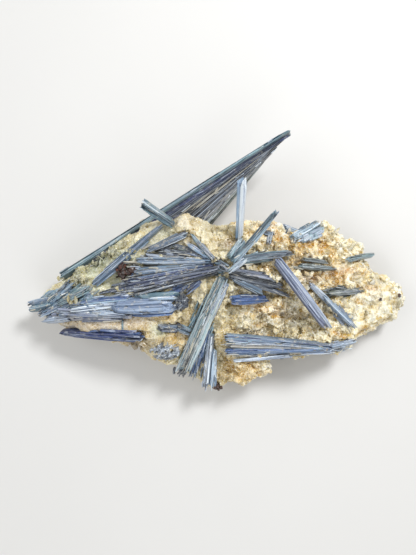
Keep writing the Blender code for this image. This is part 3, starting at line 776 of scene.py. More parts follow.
def make_active(target):
    """Selects one object alone and makes it active."""
    bpy.ops.object.select_all(action="DESELECT")
    target.select_set(True)
    bpy.context.view_layer.objects.active = target


def select_vertices(target, test):
    """Selects, in edit mode, the vertices whose place passes a test."""
    bm = bmesh.from_edit_mesh(target.data)
    for vertex in bm.verts:
        vertex.select = test(vertex.co)
    bm.select_flush(True)
    bm.select_flush(False)
    bmesh.update_edit_mesh(target.data)


def apply_modifier(target, name, kind, **settings):
    """Adds a modifier to an object and applies it."""
    make_active(target)
    modifier = target.modifiers.new(name, kind)
    for setting, value in settings.items():
        setattr(modifier, setting, value)
    bpy.ops.object.modifier_apply(modifier=modifier.name)


def ramped(values, low, high):
    """Values spread to 0 at a low bound and 1 at a high one, and no further."""
    return np.clip((values - low) / (high - low), 0, 1)


def strewn_place(centre, spread, dice):
    """A random place in an ellipse, and how far out it lies, from 0 to 1."""
    turn, reach = dice.uniform(0, math.tau), math.sqrt(dice.random())
    place = (centre[0] + math.cos(turn) * reach * spread[0], centre[1] + math.sin(turn) * reach * spread[1])
    return place, reach


def points_of(mesh):
    """The places of a mesh's vertices, one row each."""
    places = np.empty(len(mesh.vertices) * 3)
    mesh.vertices.foreach_get("co", places)
    return places.reshape(-1, 3)


def set_points(mesh, places):
    """Moves a mesh's vertices."""
    mesh.vertices.foreach_set("co", np.ascontiguousarray(places).ravel())
    mesh.update()


def set_tint(mesh, colours, crust=1.0):
    """Stores a colour for each vertex, and how much crust it bears."""
    tint = mesh.attributes.get("tint") or mesh.attributes.new("tint", "FLOAT_COLOR", "POINT")
    values = np.ones((len(mesh.vertices), 4))
    values[:, :3] = colours
    values[:, 3] = crust
    tint.data.foreach_set("color", values.ravel())


def set_facet_tint(mesh, colours):
    """Stores a colour for each triangle, on its corners."""
    tint = mesh.attributes.new("tint", "FLOAT_COLOR", "CORNER")
    values = np.ones((len(mesh.loops), 4))
    values[:, :3] = np.repeat(colours, 3, axis=0)
    tint.data.foreach_set("color", values.ravel())


def set_grain(mesh, places):
    """Stores each vertex's place on its own lath, in mm."""
    grain = mesh.attributes.get("grain") or mesh.attributes.new("grain", "FLOAT_VECTOR", "POINT")
    grain.data.foreach_set("vector", np.ascontiguousarray(places).ravel())


def joined(name, parts):
    """One object of many copies."""
    bpy.ops.object.select_all(action="DESELECT")
    for part in parts:
        part.select_set(True)
    bpy.context.view_layer.objects.active = parts[0]
    if len(parts) > 1:
        bpy.ops.object.join()
    made = bpy.context.view_layer.objects.active
    made.name = name
    made.data.name = name
    return made


def copied(template, name):
    """A copy of a template with its own mesh."""
    made = template.copy()
    made.data = template.data.copy()
    made.name = name
    bpy.context.scene.collection.objects.link(made)
    return made


def fitted(piece, node, material):
    """Gives a finished piece its material and ties it to the solid that it stands for."""
    piece.data.materials.clear()
    piece.data.materials.append(material)
    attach(piece, "root")
    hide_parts(node)


# ---------------------------------------------------------------------------
# Materials
# ---------------------------------------------------------------------------


class Finish:
    """Builds the nodes of one material."""

    def __init__(self, name):
        self.material = bpy.data.materials.new(name)
        self.material.use_nodes = True
        self.tree = self.material.node_tree
        self.shader = self.tree.nodes["Principled BSDF"]

    def node(self, kind, inputs=(), **settings):
        """Adds a node. Each input is a value or an output to link from."""
        made = self.tree.nodes.new(kind)
        for setting, value in settings.items():
            setattr(made, setting, value)
        for key, value in dict(inputs).items():
            if isinstance(value, bpy.types.NodeSocket):
                self.tree.links.new(value, made.inputs[key])
            else:
                made.inputs[key].default_value = value
        return made

    def attribute(self, name, output):
        """An attribute of the mesh."""
        return self.node("ShaderNodeAttribute", attribute_name=name).outputs[output]

    def object_place(self):
        """The place on the object, in metres."""
        return self.node("ShaderNodeTexCoord").outputs["Object"]

    def stretched(self, vector, scale, detail=3.0, roughness=0.55):
        """Noise on a scaled vector, from 0 to 1."""
        mapped = self.node("ShaderNodeMapping", {"Vector": vector, "Scale": scale})
        inputs = {"Vector": mapped.outputs[0], "Scale": 1.0, "Detail": detail, "Roughness": roughness}
        return self.node("ShaderNodeTexNoise", inputs).outputs["Fac"]

    def ridges(self, vector, scale):
        """How far a place lies from the sharp edges between cells."""
        inputs = {"Vector": vector, "Scale": scale}
        return self.node("ShaderNodeTexVoronoi", inputs, feature="DISTANCE_TO_EDGE").outputs["Distance"]

    def ramp(self, value, low, high, start=0.0, end=1.0):
        """A value spread from a low and a high bound to a start and an end."""
        inputs = {"Value": value, "From Min": low, "From Max": high, "To Min": start, "To Max": end}
        return self.node("ShaderNodeMapRange", inputs).outputs["Result"]

    def mixed(self, share, first, second, blend="MIX"):
        """Two colours mixed by a share."""
        made = self.node("ShaderNodeMix", data_type="RGBA", blend_type=blend)
        for socket, value in zip((made.inputs[0], made.inputs[6], made.inputs[7]), (share, first, second)):
            if isinstance(value, bpy.types.NodeSocket):
                self.tree.links.new(value, socket)
            elif isinstance(value, float):
                socket.default_value = value
            else:
                socket.default_value = (*value, 1.0)
        return made.outputs[2]

    def math(self, operation, first, second):
        """One sum of two values."""
        made = self.node("ShaderNodeMath", {0: first, 1: second}, operation=operation)
        return made.outputs[0]

    def bump(self, height, distance, strength=1.0):
        """Fine relief."""
        inputs = {"Height": height, "Distance": distance, "Strength": strength}
        self.link(self.node("ShaderNodeBump", inputs).outputs["Normal"], "Normal")

    def link(self, output, name):
        """Links an output to the shader."""
        self.tree.links.new(output, self.shader.inputs[name])

    def set(self, **values):
        """Sets plain values on the shader."""
        for name, value in values.items():
            self.shader.inputs[name.replace("_", " ")].default_value = value


def kyanite_finish(colours):
    """Pearly kyanite, striated along each lath, cracked across it and dusted with crumbs of quartz."""
    made = Finish("kyanite_laths")
    tint = made.attribute("tint", "Color")
    grain = made.attribute("grain", "Vector")
    fine = made.stretched(grain, (1.5, 1.5, 0.04), detail=4.0, roughness=0.65)
    bands = made.stretched(grain, (0.5, 0.5, 0.014))
    patches = made.stretched(grain, (0.16, 0.16, 0.05), detail=2.0)
    crack = made.stretched(grain, (0.12, 0.12, 0.5), detail=1.0)
    crumbs = made.stretched(made.object_place(), (260, 260, 260), detail=4.0, roughness=0.7)
    dark = made.mixed(1.0, tint, (0.42, 0.46, 0.56), "MULTIPLY")
    colour = made.mixed(made.ramp(bands, 0.38, 0.54), dark, tint)
    colour = made.mixed(made.ramp(patches, 0.56, 0.76, 0.0, 0.4), colour, tuple(colours.ice))
    colour = made.mixed(made.ramp(fine, 0.57, 0.68, 0.0, 0.75), colour, tuple(colours.ice))
    colour = made.mixed(made.ramp(fine, 0.43, 0.33, 0.0, 0.75), colour, tuple(colours.ink))
    gap = made.math("ABSOLUTE", made.math("SUBTRACT", crack, 0.5), 0.0)
    colour = made.mixed(made.ramp(gap, 0.0, 0.008, 0.55, 0.0), colour, tuple(colours.ink))
    dust = made.math("MULTIPLY", made.ramp(crumbs, 0.56, 0.64), made.attribute("tint", "Alpha"))
    colour = made.mixed(made.math("MULTIPLY", dust, 0.8), colour, tuple(colours.sand))
    made.link(colour, "Base Color")
    rough = made.math("ADD", made.ramp(fine, 0.3, 0.7, 0.24, 0.46), made.math("MULTIPLY", dust, 0.3))
    made.link(rough, "Roughness")
    relief = made.math("ADD", made.math("ADD", fine, bands), made.math("MULTIPLY", dust, 0.8))
    made.bump(relief, 0.0005, 0.7)
    made.set(IOR=1.72, Specular_IOR_Level=0.5, Coat_Weight=0.12, Coat_Roughness=0.2)
    return made.material


def quartz_finish(name, transmission, subsurface):
    """Granular quartz, slightly see-through, with clear and cloudy spots."""
    made = Finish(name)
    tint = made.attribute("tint", "Color")
    place = made.object_place()
    sugar_and_glints = made.stretched(place, (900, 900, 900), detail=2.0)
    cloud = made.stretched(place, (100, 100, 100), detail=3.0)
    edge = made.ridges(place, 300)
    deep = made.mixed(1.0, tint, (0.86, 0.77, 0.58), "MULTIPLY")
    colour = made.mixed(made.ramp(cloud, 0.40, 0.56), deep, tint)
    # Painted highlight, partly white crushed quartz, along the edges of small cells
    colour = made.mixed(made.ramp(edge, 0.0, 0.09, 0.45, 0.0), colour, (0.88, 0.86, 0.78))
    # Fine speckle of painted highlights, partly white sugary quartz
    colour = made.mixed(made.ramp(sugar_and_glints, 0.58, 0.70, 0.0, 0.25), colour, (0.86, 0.84, 0.76))
    made.link(colour, "Base Color")
    made.link(made.ramp(cloud, 0.35, 0.65, 0.15, 0.5), "Roughness")
    relief = made.math("SUBTRACT", made.math("MULTIPLY", sugar_and_glints, 0.5), made.ramp(edge, 0.0, 0.2))
    made.bump(relief, 0.0005, 0.35)
    made.set(IOR=1.54, Transmission_Weight=transmission, Subsurface_Weight=subsurface)
    made.set(Subsurface_Radius=(1.0, 0.93, 0.7), Subsurface_Scale=0.004)
    return made.material


def garnet_finish(colours):
    """Dark red-brown garnet with a glassy lustre."""
    made = Finish("garnet_crystals")
    place = made.object_place()
    glint_noise = made.stretched(place, (420, 420, 420), detail=2.0)
    # Painted red glints where the noise is high; nearly black where it is low
    colour = made.mixed(made.ramp(glint_noise, 0.5, 0.68), tuple(colours.garnet), tuple(colours.garnet_lit))
    colour = made.mixed(made.ramp(glint_noise, 0.46, 0.3), colour, (0.01, 0.006, 0.006))
    made.link(colour, "Base Color")
    made.link(made.ramp(glint_noise, 0.3, 0.7, 0.25, 0.5), "Roughness")
    made.bump(made.stretched(place, (1500, 1500, 1500)), 0.0001, 0.4)
    made.set(IOR=1.78, Specular_IOR_Level=0.5)
    return made.material


def floor_finish(colours):
    """Matt pale floor."""
    made = Finish("studio_floor")
    place = made.object_place()
    worn = made.stretched(place, (9, 9, 9), detail=4.0)
    colour = made.mixed(1.0, tuple(colours.floor), (1.0, 1.0, 1.0), "MULTIPLY")
    made.link(made.mixed(made.ramp(worn, 0.2, 0.8, 0.0, 0.06), colour, (0.4, 0.4, 0.4)), "Base Color")
    made.set(Roughness=0.75, Specular_IOR_Level=0.2)
    return made.material


def shared_material(name, make, *values):
    """A material that several pieces share."""
    return bpy.data.materials.get(name) or make(*values)


# ---------------------------------------------------------------------------
# Laths of kyanite
# ---------------------------------------------------------------------------

LATH_LENGTH = 10.0  # units of a template: its first and last unit keep their shape on a long lath
LATH_CUTS = {  # planes that shape the ends of each template: place and outward normal
    "slanted": (
        ((0, 0, 9.5), (0.7, 0.1, 1)),
        ((0, 0, 0.4), (0.4, 0.2, -1)),
    ),
    "pointed": (
        ((0.1, 0, 9.5), (1.0, 0, 0.5)),
        ((-0.2, 0, 9.3), (-0.8, 0.2, 0.6)),
        ((0, 0, 0.5), (-0.8, 0, -1)),
    ),
    "chisel": (
        ((0, 0.1, 9.4), (0.2, 1.0, 0.7)),
        ((0, 0, 9.7), (-0.5, 0, 1)),
        ((0.1, 0, 0.4), (0.5, 0.8, -1)),
    ),
    "needle": (
        ((0.2, 0, 9.2), (1.0, 0.1, 0.35)),
        ((-0.2, 0, 9.2), (-1.0, 0.1, 0.4)),
        ((0, 0, 0.6), (1.0, 0, -0.8)),
    ),
}


def cut_off(target, place, normal):
    """Cuts off, in edit mode, what lies beyond a plane, and closes the cut."""
    bpy.ops.mesh.select_all(action="SELECT")
    bpy.ops.mesh.bisect(plane_co=place, plane_no=normal, use_fill=True, clear_outer=True)


def lath_template(name, cuts):
    """A ribbed lath, one unit wide and thick, that stands on its root."""
    bpy.ops.mesh.primitive_cube_add(size=1, location=(0, 0, LATH_LENGTH / 2))
    lath = bpy.context.object
    lath.name = name
    make_active(lath)
    lath.scale = (1, 1, LATH_LENGTH)
    bpy.ops.object.transform_apply(location=True, rotation=False, scale=True)
    bpy.ops.object.mode_set(mode="EDIT")
    bpy.ops.mesh.select_mode(type="VERT")
    for across in (-0.3, -0.06, 0.24):
        bpy.ops.mesh.select_all(action="SELECT")
        bpy.ops.mesh.bisect(plane_co=(across, 0, 0), plane_no=(1, 0, 0))
    select_vertices(lath, lambda co: -0.31 < co.x < -0.05)
    bpy.ops.transform.resize(value=(1, 1.16, 1))
    select_vertices(lath, lambda co: abs(co.x) > 0.45)
    bpy.ops.transform.resize(value=(1, 0.42, 1))
    for along in (1.0, 3.4, 6.1, 9.0):
        bpy.ops.mesh.select_all(action="SELECT")
        bpy.ops.mesh.bisect(plane_co=(0, 0, along), plane_no=(0, 0, 1))
    for place, normal in cuts:
        cut_off(lath, place, normal)
    bpy.ops.mesh.select_all(action="SELECT")
    bpy.ops.mesh.normals_make_consistent(inside=False)
    bpy.ops.object.mode_set(mode="OBJECT")
    apply_modifier(lath, "triangles", "TRIANGULATE")
    set_tint(lath.data, (1, 1, 1))
    set_grain(lath.data, points_of(lath.data))
    return lath


def lath_copy(templates, start, end, widths, thick, turn, colour, crust, dice):
    """One lath, laid from a start to an end, with its own colour and grain."""
    lath = copied(dice.choice(templates), "lath")
    unit = points_of(lath.data)
    length = (end - start).length
    root_zone, tip_zone = (min(1.5 * width, 0.2 * length) for width in widths)
    stations = (0, 1, LATH_LENGTH - 1, LATH_LENGTH)
    along = np.interp(unit[:, 2], stations, (0, root_zone, length - tip_zone, length))
    share = along / length
    mirror = dice.choice((-1, 1))
    width = widths[0] + (widths[1] - widths[0]) * share
    width *= 1 + 0.10 * np.sin(share * dice.uniform(3, 9) + dice.uniform(0, 6))
    local = np.column_stack((unit[:, 0] * width * mirror, unit[:, 1] * thick, along))
    bow = np.sin(np.pi * share) * dice.uniform(-0.25, 0.25)
    local[:, 0] += bow
    placed = local @ np.array(turn).T + np.array(start)
    set_points(lath.data, placed * MM)
    if mirror < 0:
        lath.data.flip_normals()
    set_grain(lath.data, local + np.array([dice.uniform(0, 400) for _ in range(3)]))
    set_tint(lath.data, colour, crust)
    return lath


def draw_in(mesh, root, tip, across, ends):
    """Narrows a lath towards the ends of its blade."""
    along, across = np.array((tip - root).normalized()), np.array(across)
    places = points_of(mesh) / MM - np.array(root)
    share = places @ along / (tip - root).length
    root_share, tip_share = (np.clip(away / 0.3, 0, 1) for away in (share, 1 - share))
    left = 1 - (1 - ends[0]) * (1 - root_share) ** 2 - (1 - ends[1]) * (1 - tip_share) ** 2
    places += np.outer((places @ across) * (left - 1), across)
    set_points(mesh, (places + np.array(root)) * MM)


def blade_laths(templates, blade, dice, lath_width, palette, crust, splinters):
    """The laths of one blade: a broad core, and narrower laths on its faces that begin and end apart."""
    root, tip = ends_of(blade)
    turn = blade_frame(root, tip, blade.roll)
    length = (tip - root).length
    first, second = (np.array(palette[tone]) for tone in blade.tones)
    laths = []

    def at(share, place, out):
        """A point of the blade, by its shares along, across and out of it."""
        width = blade.width[0] + (blade.width[1] - blade.width[0]) * share
        chop = place * width * blade.chop * share
        return root + (tip - root) * share + turn @ Vector((place * width, out * blade.thick, chop))

    def add(shares, places, out, width, thick, tilt, colour):
        """One lath of the blade."""
        begin, close = at(shares[0], places[0], out), at(shares[1], places[1], out)
        widths = [width * (blade.width[0] + (blade.width[1] - blade.width[0]) * share) for share in shares]
        lath_turn = blade_frame(begin, close, blade.roll) @ Matrix.Rotation(math.radians(tilt), 3, "Z")
        colour = np.clip(colour * dice.uniform(0.82, 1.18), 0, 1)
        thick *= blade.thick
        laths.append(lath_copy(templates, begin, close, widths, thick, lath_turn, colour, crust, dice))

    width = max(blade.width)
    core = blade.strips or max(2, round(width / CORE_LATH))
    for i in range(core):
        place = ((i + 0.5) / core - 0.5) * 0.92
        slips = [dice.uniform(0, 0.6 if blade.strips else 3.0) / length for _ in range(2)]
        thick = dice.uniform(0.9, 1.0) if blade.strips else dice.uniform(0.6, 0.86)
        colour = (first, second)[i % 2] if blade.strips else 0.8 * first
        add((slips[0], 1 - slips[1]), (place, place), 0.0, 1.2 / core, thick, dice.uniform(-8, 8), colour)
    for _ in range(0 if blade.strips else round(COVER * width / lath_width)):
        place = dice.uniform(-0.47, 0.47)
        shares = (0.5 * dice.random() ** 2, 1 - 0.5 * dice.random() ** 2.5)
        thick = dice.uniform(0.18, 0.36)
        out = (0.5 - thick / 2 + dice.uniform(-0.06, 0.05)) * dice.choice((1, 1, 1, -1))
        places = (place, place + dice.uniform(-0.06, 0.06))
        strip = lath_width * dice.uniform(0.5, 1.9) / width
        colour = first + (second - first) * dice.random() ** 1.5
        streak = dice.random()
        if streak < PALE_STREAKS:
            colour, strip = 0.3 * second + 0.7 * np.array(palette["ice"]), 0.5 * strip
        elif streak < DARK_STREAKS:
            # Nearly black laths: partly dark kyanite, partly painted shade of the grooves between laths
            colour, strip = 0.3 * first + 0.7 * np.array(palette["ink"]), 0.6 * strip
        add(shares, places, out, strip, thick, dice.uniform(-14, 14), colour)
    for _ in range(round(splinters * length * width / 40)):
        start, place = dice.uniform(0, 0.92), dice.uniform(-0.5, 0.5)
        shares = (start, min(1.0, start + dice.uniform(4, 13) / length))
        places = (place, min(0.5, max(-0.5, place + dice.uniform(-0.4, 0.4))))
        thick = dice.uniform(0.14, 0.24)
        colour = np.array(palette[dice.choice(("sand", "ice", "ink", *blade.tones))])
        strip, tilt = dice.uniform(0.5, 1.1) / width, dice.uniform(-20, 20)
        add(shares, places, 0.52 - thick / 2, strip, thick, tilt, colour)
    for lath in laths:
        draw_in(lath.data, root, tip, turn.col[0], blade.ends)
    return laths


def mat_laths(templates, mat, dice, palette, crust):
    """Short laths strewn over the rock's front."""
    first, second = (np.array(palette[tone]) for tone in mat.tones)
    laths = []
    for _ in range(mat.count):
        place = Vector(strewn_place(mat.centre, mat.spread, dice)[0])
        heading = mat.heading
        if mat.focus:
            heading = math.degrees(math.atan2(mat.focus[1] - place.y, mat.focus[0] - place.x))
        heading = math.radians(heading + dice.uniform(-mat.fan, mat.fan))
        length = dice.uniform(*mat.length)
        half = Vector((math.cos(heading), math.sin(heading))) * length / 2
        ends = (place - half, place + half)
        if min(depth_inside(sighted(*end, SIGHT_PLANE).to_2d()) for end in ends) < 1.0:
            continue
        root, tip = (on_front(end, mat.lift + dice.uniform(-0.9, 0.9)) for end in ends)
        width = dice.uniform(*mat.width)
        widths = (width * dice.uniform(0.5, 1.0), width)
        colour = first + (second - first) * dice.random() ** 1.3
        colour = np.clip(colour * dice.uniform(0.75, 1.2), 0, 1)
        lath_turn = blade_frame(root, tip, dice.uniform(-30, 30))
        thick = width * dice.uniform(0.8, 1.4)
        laths.append(lath_copy(templates, root, tip, widths, thick, lath_turn, colour, crust, dice))
    return laths


def lath_templates():
    """The templates that every lath is copied from, modelled once."""
    names = [f"lath_{name}" for name in LATH_CUTS]
    if names[0] in bpy.data.objects:
        return [bpy.data.objects[name] for name in names]
    return [lath_template(name, cuts) for name, cuts in zip(names, LATH_CUTS.values())]


def add_crystals(context, node):
    """Adds the laths that stand for one solid of kyanite."""
    colours, sizes = context.scene.kyanite_colours, context.scene.kyanite_sizes
    templates = lath_templates()
    palette = {name: tuple(getattr(colours, name)) for name in KyaniteColours.__annotations__}
    crust = CRUST.get(node, 0.4)
    parts = []
    for i, blade in enumerate(CRYSTALS[node]):
        dice = random.Random(f"{node} {i} laths")
        width, splinters = sizes.lath_width / MM, SPLINTERS.get(node, 0.0)
        parts += blade_laths(templates, blade, dice, width, palette, crust, splinters)
    for i, mat in enumerate(MATS.get(node, ())):
        parts += mat_laths(templates, mat, random.Random(f"{node} {i} mat"), palette, crust)
    piece = joined(f"{node}_laths", parts)
    fitted(piece, node, shared_material("kyanite_laths", kyanite_finish, colours))


# ---------------------------------------------------------------------------
# Quartz
# ---------------------------------------------------------------------------


def quartz_tints(places, colours, seeds, edges, relief):
    """Colours of the quartz at places in mm. It is lighter where its seed is high, whiter near sharp edges
    (crushed white quartz with a painted highlight), whiter on bulges as painted light, and honey-coloured
    and darker in hollows (amber quartz with painted shade), above all in the right half.
    """
    nearness = (EYE_HEIGHT - places[:, 2]) / (EYE_HEIGHT - SIGHT_PLANE)
    seen = places[:, :2] / nearness[:, None]
    tints = np.tile(np.array(colours.cream), (len(places), 1))
    for stain in STAINS:
        away = (seen - np.array(stain.centre)) / np.array(stain.spread)
        share = stain.strength * np.exp(-(away**2).sum(axis=1))[:, None]
        tints += (np.array(getattr(colours, stain.colour)) - tints) * share
    veins = np.array([noise.noise(Vector((x / 15, (y + 0.3 * x) / 4, 3.7))) for x, y in seen])
    share = np.clip(2.6 * veins - 0.5, 0, 0.75) * ramped(70 - abs(seen[:, 0] - 85), 0, 30)
    tints += (np.array(colours.honey) - tints) * share[:, None]
    lively = 0.2 + 0.8 * ramped(seen[:, 0], 10, 50)
    shade = 0.76 + 0.10 * lively - 0.22 * lively * (0.8 - seeds) - 0.06 * ramped(seen[:, 0], 120, 150)
    tints *= shade[:, None]
    # Painted shade in hollows (low relief): a darker honey, partly the amber of the quartz
    deep = tints * np.array((0.93, 0.76, 0.36))
    tints += (deep - tints) * (lively * np.clip(-0.8 * relief - 0.05, 0, 0.9))[:, None]
    # Painted highlight on sharp edges, partly crushed white quartz, and painted light on bulges (high
    # relief)
    chalk = np.array(colours.chalk)
    tints += (chalk - tints) * (lively * np.clip(0.8 * edges + 0.25 * relief, 0, 0.9))[:, None]
    return np.clip(tints, 0, 1)


def add_rock(context):
    """Adds the lump of quartz, broken in small facets, over a copy of its solid."""
    colours, sizes = context.scene.kyanite_colours, context.scene.kyanite_sizes
    rock = bpy.data.objects.new("quartz_matrix_rock", frame["nodes"]["quartz_matrix"].data.copy())
    context.scene.collection.objects.link(rock)
    make_active(rock)
    bpy.ops.object.mode_set(mode="EDIT")
    bpy.ops.mesh.select_all(action="SELECT")
    bpy.ops.mesh.remove_doubles(threshold=0.00001)
    bpy.ops.object.mode_set(mode="OBJECT")
    apply_modifier(rock, "grid", "REMESH", mode="VOXEL", voxel_size=sizes.rock_grid)
    mesh = rock.data
    places = points_of(mesh) / MM
    normals = np.array([vertex.normal[:] for vertex in mesh.vertices])
    offsets = np.array([facet_offset(Vector(place), GRAINS) for place in places])
    pits = np.array([pit_at(Vector(place)) for place in places])
    offsets -= PIT_DEPTH * pits[:, 0] * pits[:, 1]
    coarse = 0.35 + 0.65 * ramped(places[:, 0], -30, 50) - 0.5 * ramped(places[:, 0], 100, 130)
    clear_of_back = ramped(places[:, 2], 0, 5)
    places += normals * (offsets * coarse * clear_of_back + ROCK_PROUD)[:, None]
    places[:, 2] = np.where(places[:, 2] < FLAT_BACK, 0, places[:, 2])
    set_points(mesh, places * MM)
    kept = min(1, sizes.rock_triangles / (2 * len(mesh.polygons)))
    apply_modifier(rock, "facets", "DECIMATE", ratio=kept)
    apply_modifier(rock, "triangles", "TRIANGULATE")
    make_active(rock)
    bpy.ops.object.shade_flat()
    mesh = rock.data
    centres = np.array([face.center[:] for face in mesh.polygons]) / MM
    dice = random.Random("rock facets")
    seeds, edges, relief = np.zeros((3, len(centres)))
    for i, centre in enumerate(centres):
        away, depth = pit_at(Vector(centre))
        seeds[i] = 0.9 * noise.cell(Vector(centre) / 6.0) + 0.1 * dice.random()
        # edges: sharp pit edges that get a painted highlight; relief: sets painted shade in hollows,
        # painted light on bulges
        edges[i] = max(0.0, 1 - 1.7 * away) * dice.uniform(0.4, 1.3)
        relief[i] = 0.3 * facet_offset(Vector(centre), GRAINS) - 1.2 * away * depth
    set_facet_tint(mesh, quartz_tints(centres, colours, seeds, edges, relief))
    material = shared_material("quartz_rock", quartz_finish, "quartz_rock", 0.0, 0.75)
    fitted(rock, "quartz_matrix", material)


def quartz_grain_template(name, seed):
    """A broken grain of quartz, about one unit across, with flat faces."""
    dice = random.Random(seed)
    bpy.ops.mesh.primitive_ico_sphere_add(subdivisions=1, radius=0.56)
    grain = bpy.context.object
    grain.name = name
    make_active(grain)
    bpy.ops.object.mode_set(mode="EDIT")
    for _ in range(6):
        normal = Vector([dice.uniform(-1, 1) for _ in range(3)]).normalized()
        cut_off(grain, normal * dice.uniform(0.2, 0.4), normal)
    bpy.ops.mesh.select_all(action="SELECT")
    bpy.ops.mesh.normals_make_consistent(inside=False)
    bpy.ops.object.mode_set(mode="OBJECT")
    apply_modifier(grain, "triangles", "TRIANGULATE")
    set_tint(grain.data, (1, 1, 1))
    return grain


def surface_tree(bodies):
    """A search tree over the surfaces of several objects."""
    points, faces = [], []
    for body in bodies:
        start = len(points)
        points += [vertex.co.copy() for vertex in body.data.vertices]
        faces += [[start + i for i in face.vertices] for face in body.data.polygons]
    return BVHTree.FromPolygons(points, faces)


def rests_on(tree, centre, size):
    """Whether a grain of a size is held by the surface, or lies under it."""
    place, normal, _, distance = tree.find_nearest(centre)
    return distance < 0.3 * size or (centre - place).dot(normal) < 0


def grain_size(x, sizes):
    """Usual size of the quartz grains at a place along the lump, in metres."""
    share = min(1.0, max(0.0, (x + 60) / 120))
    return sizes.grain_small + (sizes.grain_large - sizes.grain_small) * share


def collar_places(dice):
    """Places of the grains that overgrow the edges and the ends of bedded blades, in mm."""
    places = []
    for node in OVERGROWN:
        for blade in CRYSTALS[node]:
            root, tip = Vector(blade.root), Vector(blade.tip)
            along = (tip - root).normalized()
            across = Vector((-along.y, along.x))
            for _ in range(round((tip - root).length / 3.0) + 6):
                share = dice.choice((dice.random(), dice.uniform(0.9, 1.02), dice.uniform(-0.02, 0.06)))
                width = blade.width[0] + (blade.width[1] - blade.width[0]) * share
                edge = dice.choice((-1, 1)) * (0.5 * width + dice.uniform(0.0, 1.6))
                if not 0.06 < share < 0.9:
                    edge *= dice.random()
                point = on_front(root + (tip - root) * share + across * edge, 0.2)
                if depth_inside(point.to_2d()) > COLLAR_MARGIN:
                    places.append(point)
    return places


def strewn_grains(rock, sizes, dice):
    """Centres and sizes of the grains that are strewn over the rock, in metres."""
    faces = [face for face in rock.data.polygons if face.normal.z > -0.4 and face.center.z > 5 * MM]
    areas = np.cumsum([face.area for face in faces])
    grains = []
    for _ in range(sizes.grain_count):
        face = faces[int(np.searchsorted(areas, dice.uniform(0, areas[-1])))]
        rim_near = depth_inside(face.center.to_2d() / MM) < RIM_MARGIN
        if rim_near or (face.center.x < 0 and dice.random() < 0.5):
            continue
        size = grain_size(face.center.x / MM, sizes) * dice.uniform(0.5, 1.0) ** 2 * 1.9
        grains.append((face.center - face.normal * size * 0.2, size))
    return grains


def placed_grains(sizes, dice):
    """Centres and sizes of the grains beside and on the blades and of the lumps, in metres."""
    grains = []
    for place in collar_places(dice):
        grains.append((place * MM, 0.8 * grain_size(place.x, sizes) * dice.uniform(0.6, 1.4)))
    for x, y, size, lift in LUMPS:
        grains.append((on_front((x, y), lift) * MM, size * MM))
    for centre, spread, count, size, lift in CLOTS:
        for _ in range(count):
            place, reach = strewn_place(centre, spread, dice)
            point = on_front(place, lift * (1.1 - reach))
            grains.append((point * MM, size * dice.uniform(0.5, 1.2) * MM))
    return grains


def grain_copy(templates, centre, size, long_axis, colours, dice):
    """One grain of quartz. A shard is drawn out along its long axis, and is white."""
    grain = copied(dice.choice(templates), "grain")
    axis = Vector([dice.uniform(-1, 1) for _ in range(3)])
    turn = Matrix.Rotation(dice.uniform(0, math.tau), 3, axis)
    shape = Matrix.Diagonal([size * dice.uniform(*bounds) for bounds in GRAIN_SHAPE])
    if long_axis is not None:
        turn = long_axis.to_track_quat("Z", "X").to_matrix()
        shape = Matrix.Diagonal((size, 0.7 * size, long_axis.length))
    placed = points_of(grain.data) @ np.array(turn @ shape).T + np.array(centre)
    placed[:, 2] = np.maximum(placed[:, 2], 0)
    set_points(grain.data, placed)
    fresh = size > LUMP_SIZE * MM or centre.x < FRESH_END * MM
    seed = 1.0 if fresh else dice.uniform(0.2, 1.0)
    edge = dice.random() ** 3
    # A fresh grain is tinted as a standing bulge, whiter by painted light; the others get a random relief
    relief = 1.6 if fresh else dice.gauss(0, 0.6)
    looks = (np.array([value]) for value in (seed, edge, relief))
    tint = quartz_tints(np.array([centre]) / MM, colours, *looks)[0]
    set_tint(grain.data, tint if long_axis is None else tuple(colours.chalk))
    return grain


def add_quartz_grains(context):
    """Adds the grains that stand out of the quartz. Those that nothing holds are left out."""
    colours, sizes = context.scene.kyanite_colours, context.scene.kyanite_sizes
    rock = bpy.data.objects["quartz_matrix_rock"]
    templates = [quartz_grain_template(f"quartz_grain_{i}", 40 + i) for i in range(6)]
    dice = random.Random("quartz grains")
    grains = strewn_grains(rock, sizes, dice) + placed_grains(sizes, dice)
    tree = surface_tree([rock, *(frame["nodes"][node] for node in HOLDING)])
    wanted = [(centre, size, None) for centre, size in grains if rests_on(tree, centre, size)]
    for root, tip, heights, width in SHARDS:
        ends = [sighted(*place, height) * MM for place, height in zip((root, tip), heights)]
        wanted.append(((ends[0] + ends[1]) / 2, width * MM, 1.3 * (ends[1] - ends[0])))
    piece = joined("quartz_grains", [grain_copy(templates, *grain, colours, dice) for grain in wanted])
    material = shared_material("quartz_grain", quartz_finish, "quartz_grain", 0.35, 0.4)
    fitted(piece, "quartz_matrix", material)


# ---------------------------------------------------------------------------
# Garnets
# ---------------------------------------------------------------------------


def garnet_template(name):
    """A twelve-sided garnet, one unit across, with worn edges."""
    bpy.ops.mesh.primitive_cube_add(size=0.5)
    garnet = bpy.context.object
    garnet.name = name
    make_active(garnet)
    bpy.ops.object.mode_set(mode="EDIT")
    bpy.ops.mesh.select_mode(type="FACE")
    bpy.ops.mesh.select_all(action="SELECT")
    bpy.ops.mesh.poke(offset=0.25)
    bpy.ops.mesh.select_all(action="SELECT")
    bpy.ops.mesh.dissolve_limited(angle_limit=math.radians(2))
    bpy.ops.mesh.select_all(action="SELECT")
    bpy.ops.mesh.bevel(offset=0.03, segments=1)
    bpy.ops.mesh.select_all(action="SELECT")
    bpy.ops.mesh.normals_make_consistent(inside=False)
    bpy.ops.mesh.select_mode(type="VERT")
    bpy.ops.object.mode_set(mode="OBJECT")
    apply_modifier(garnet, "triangles", "TRIANGULATE")
    return garnet


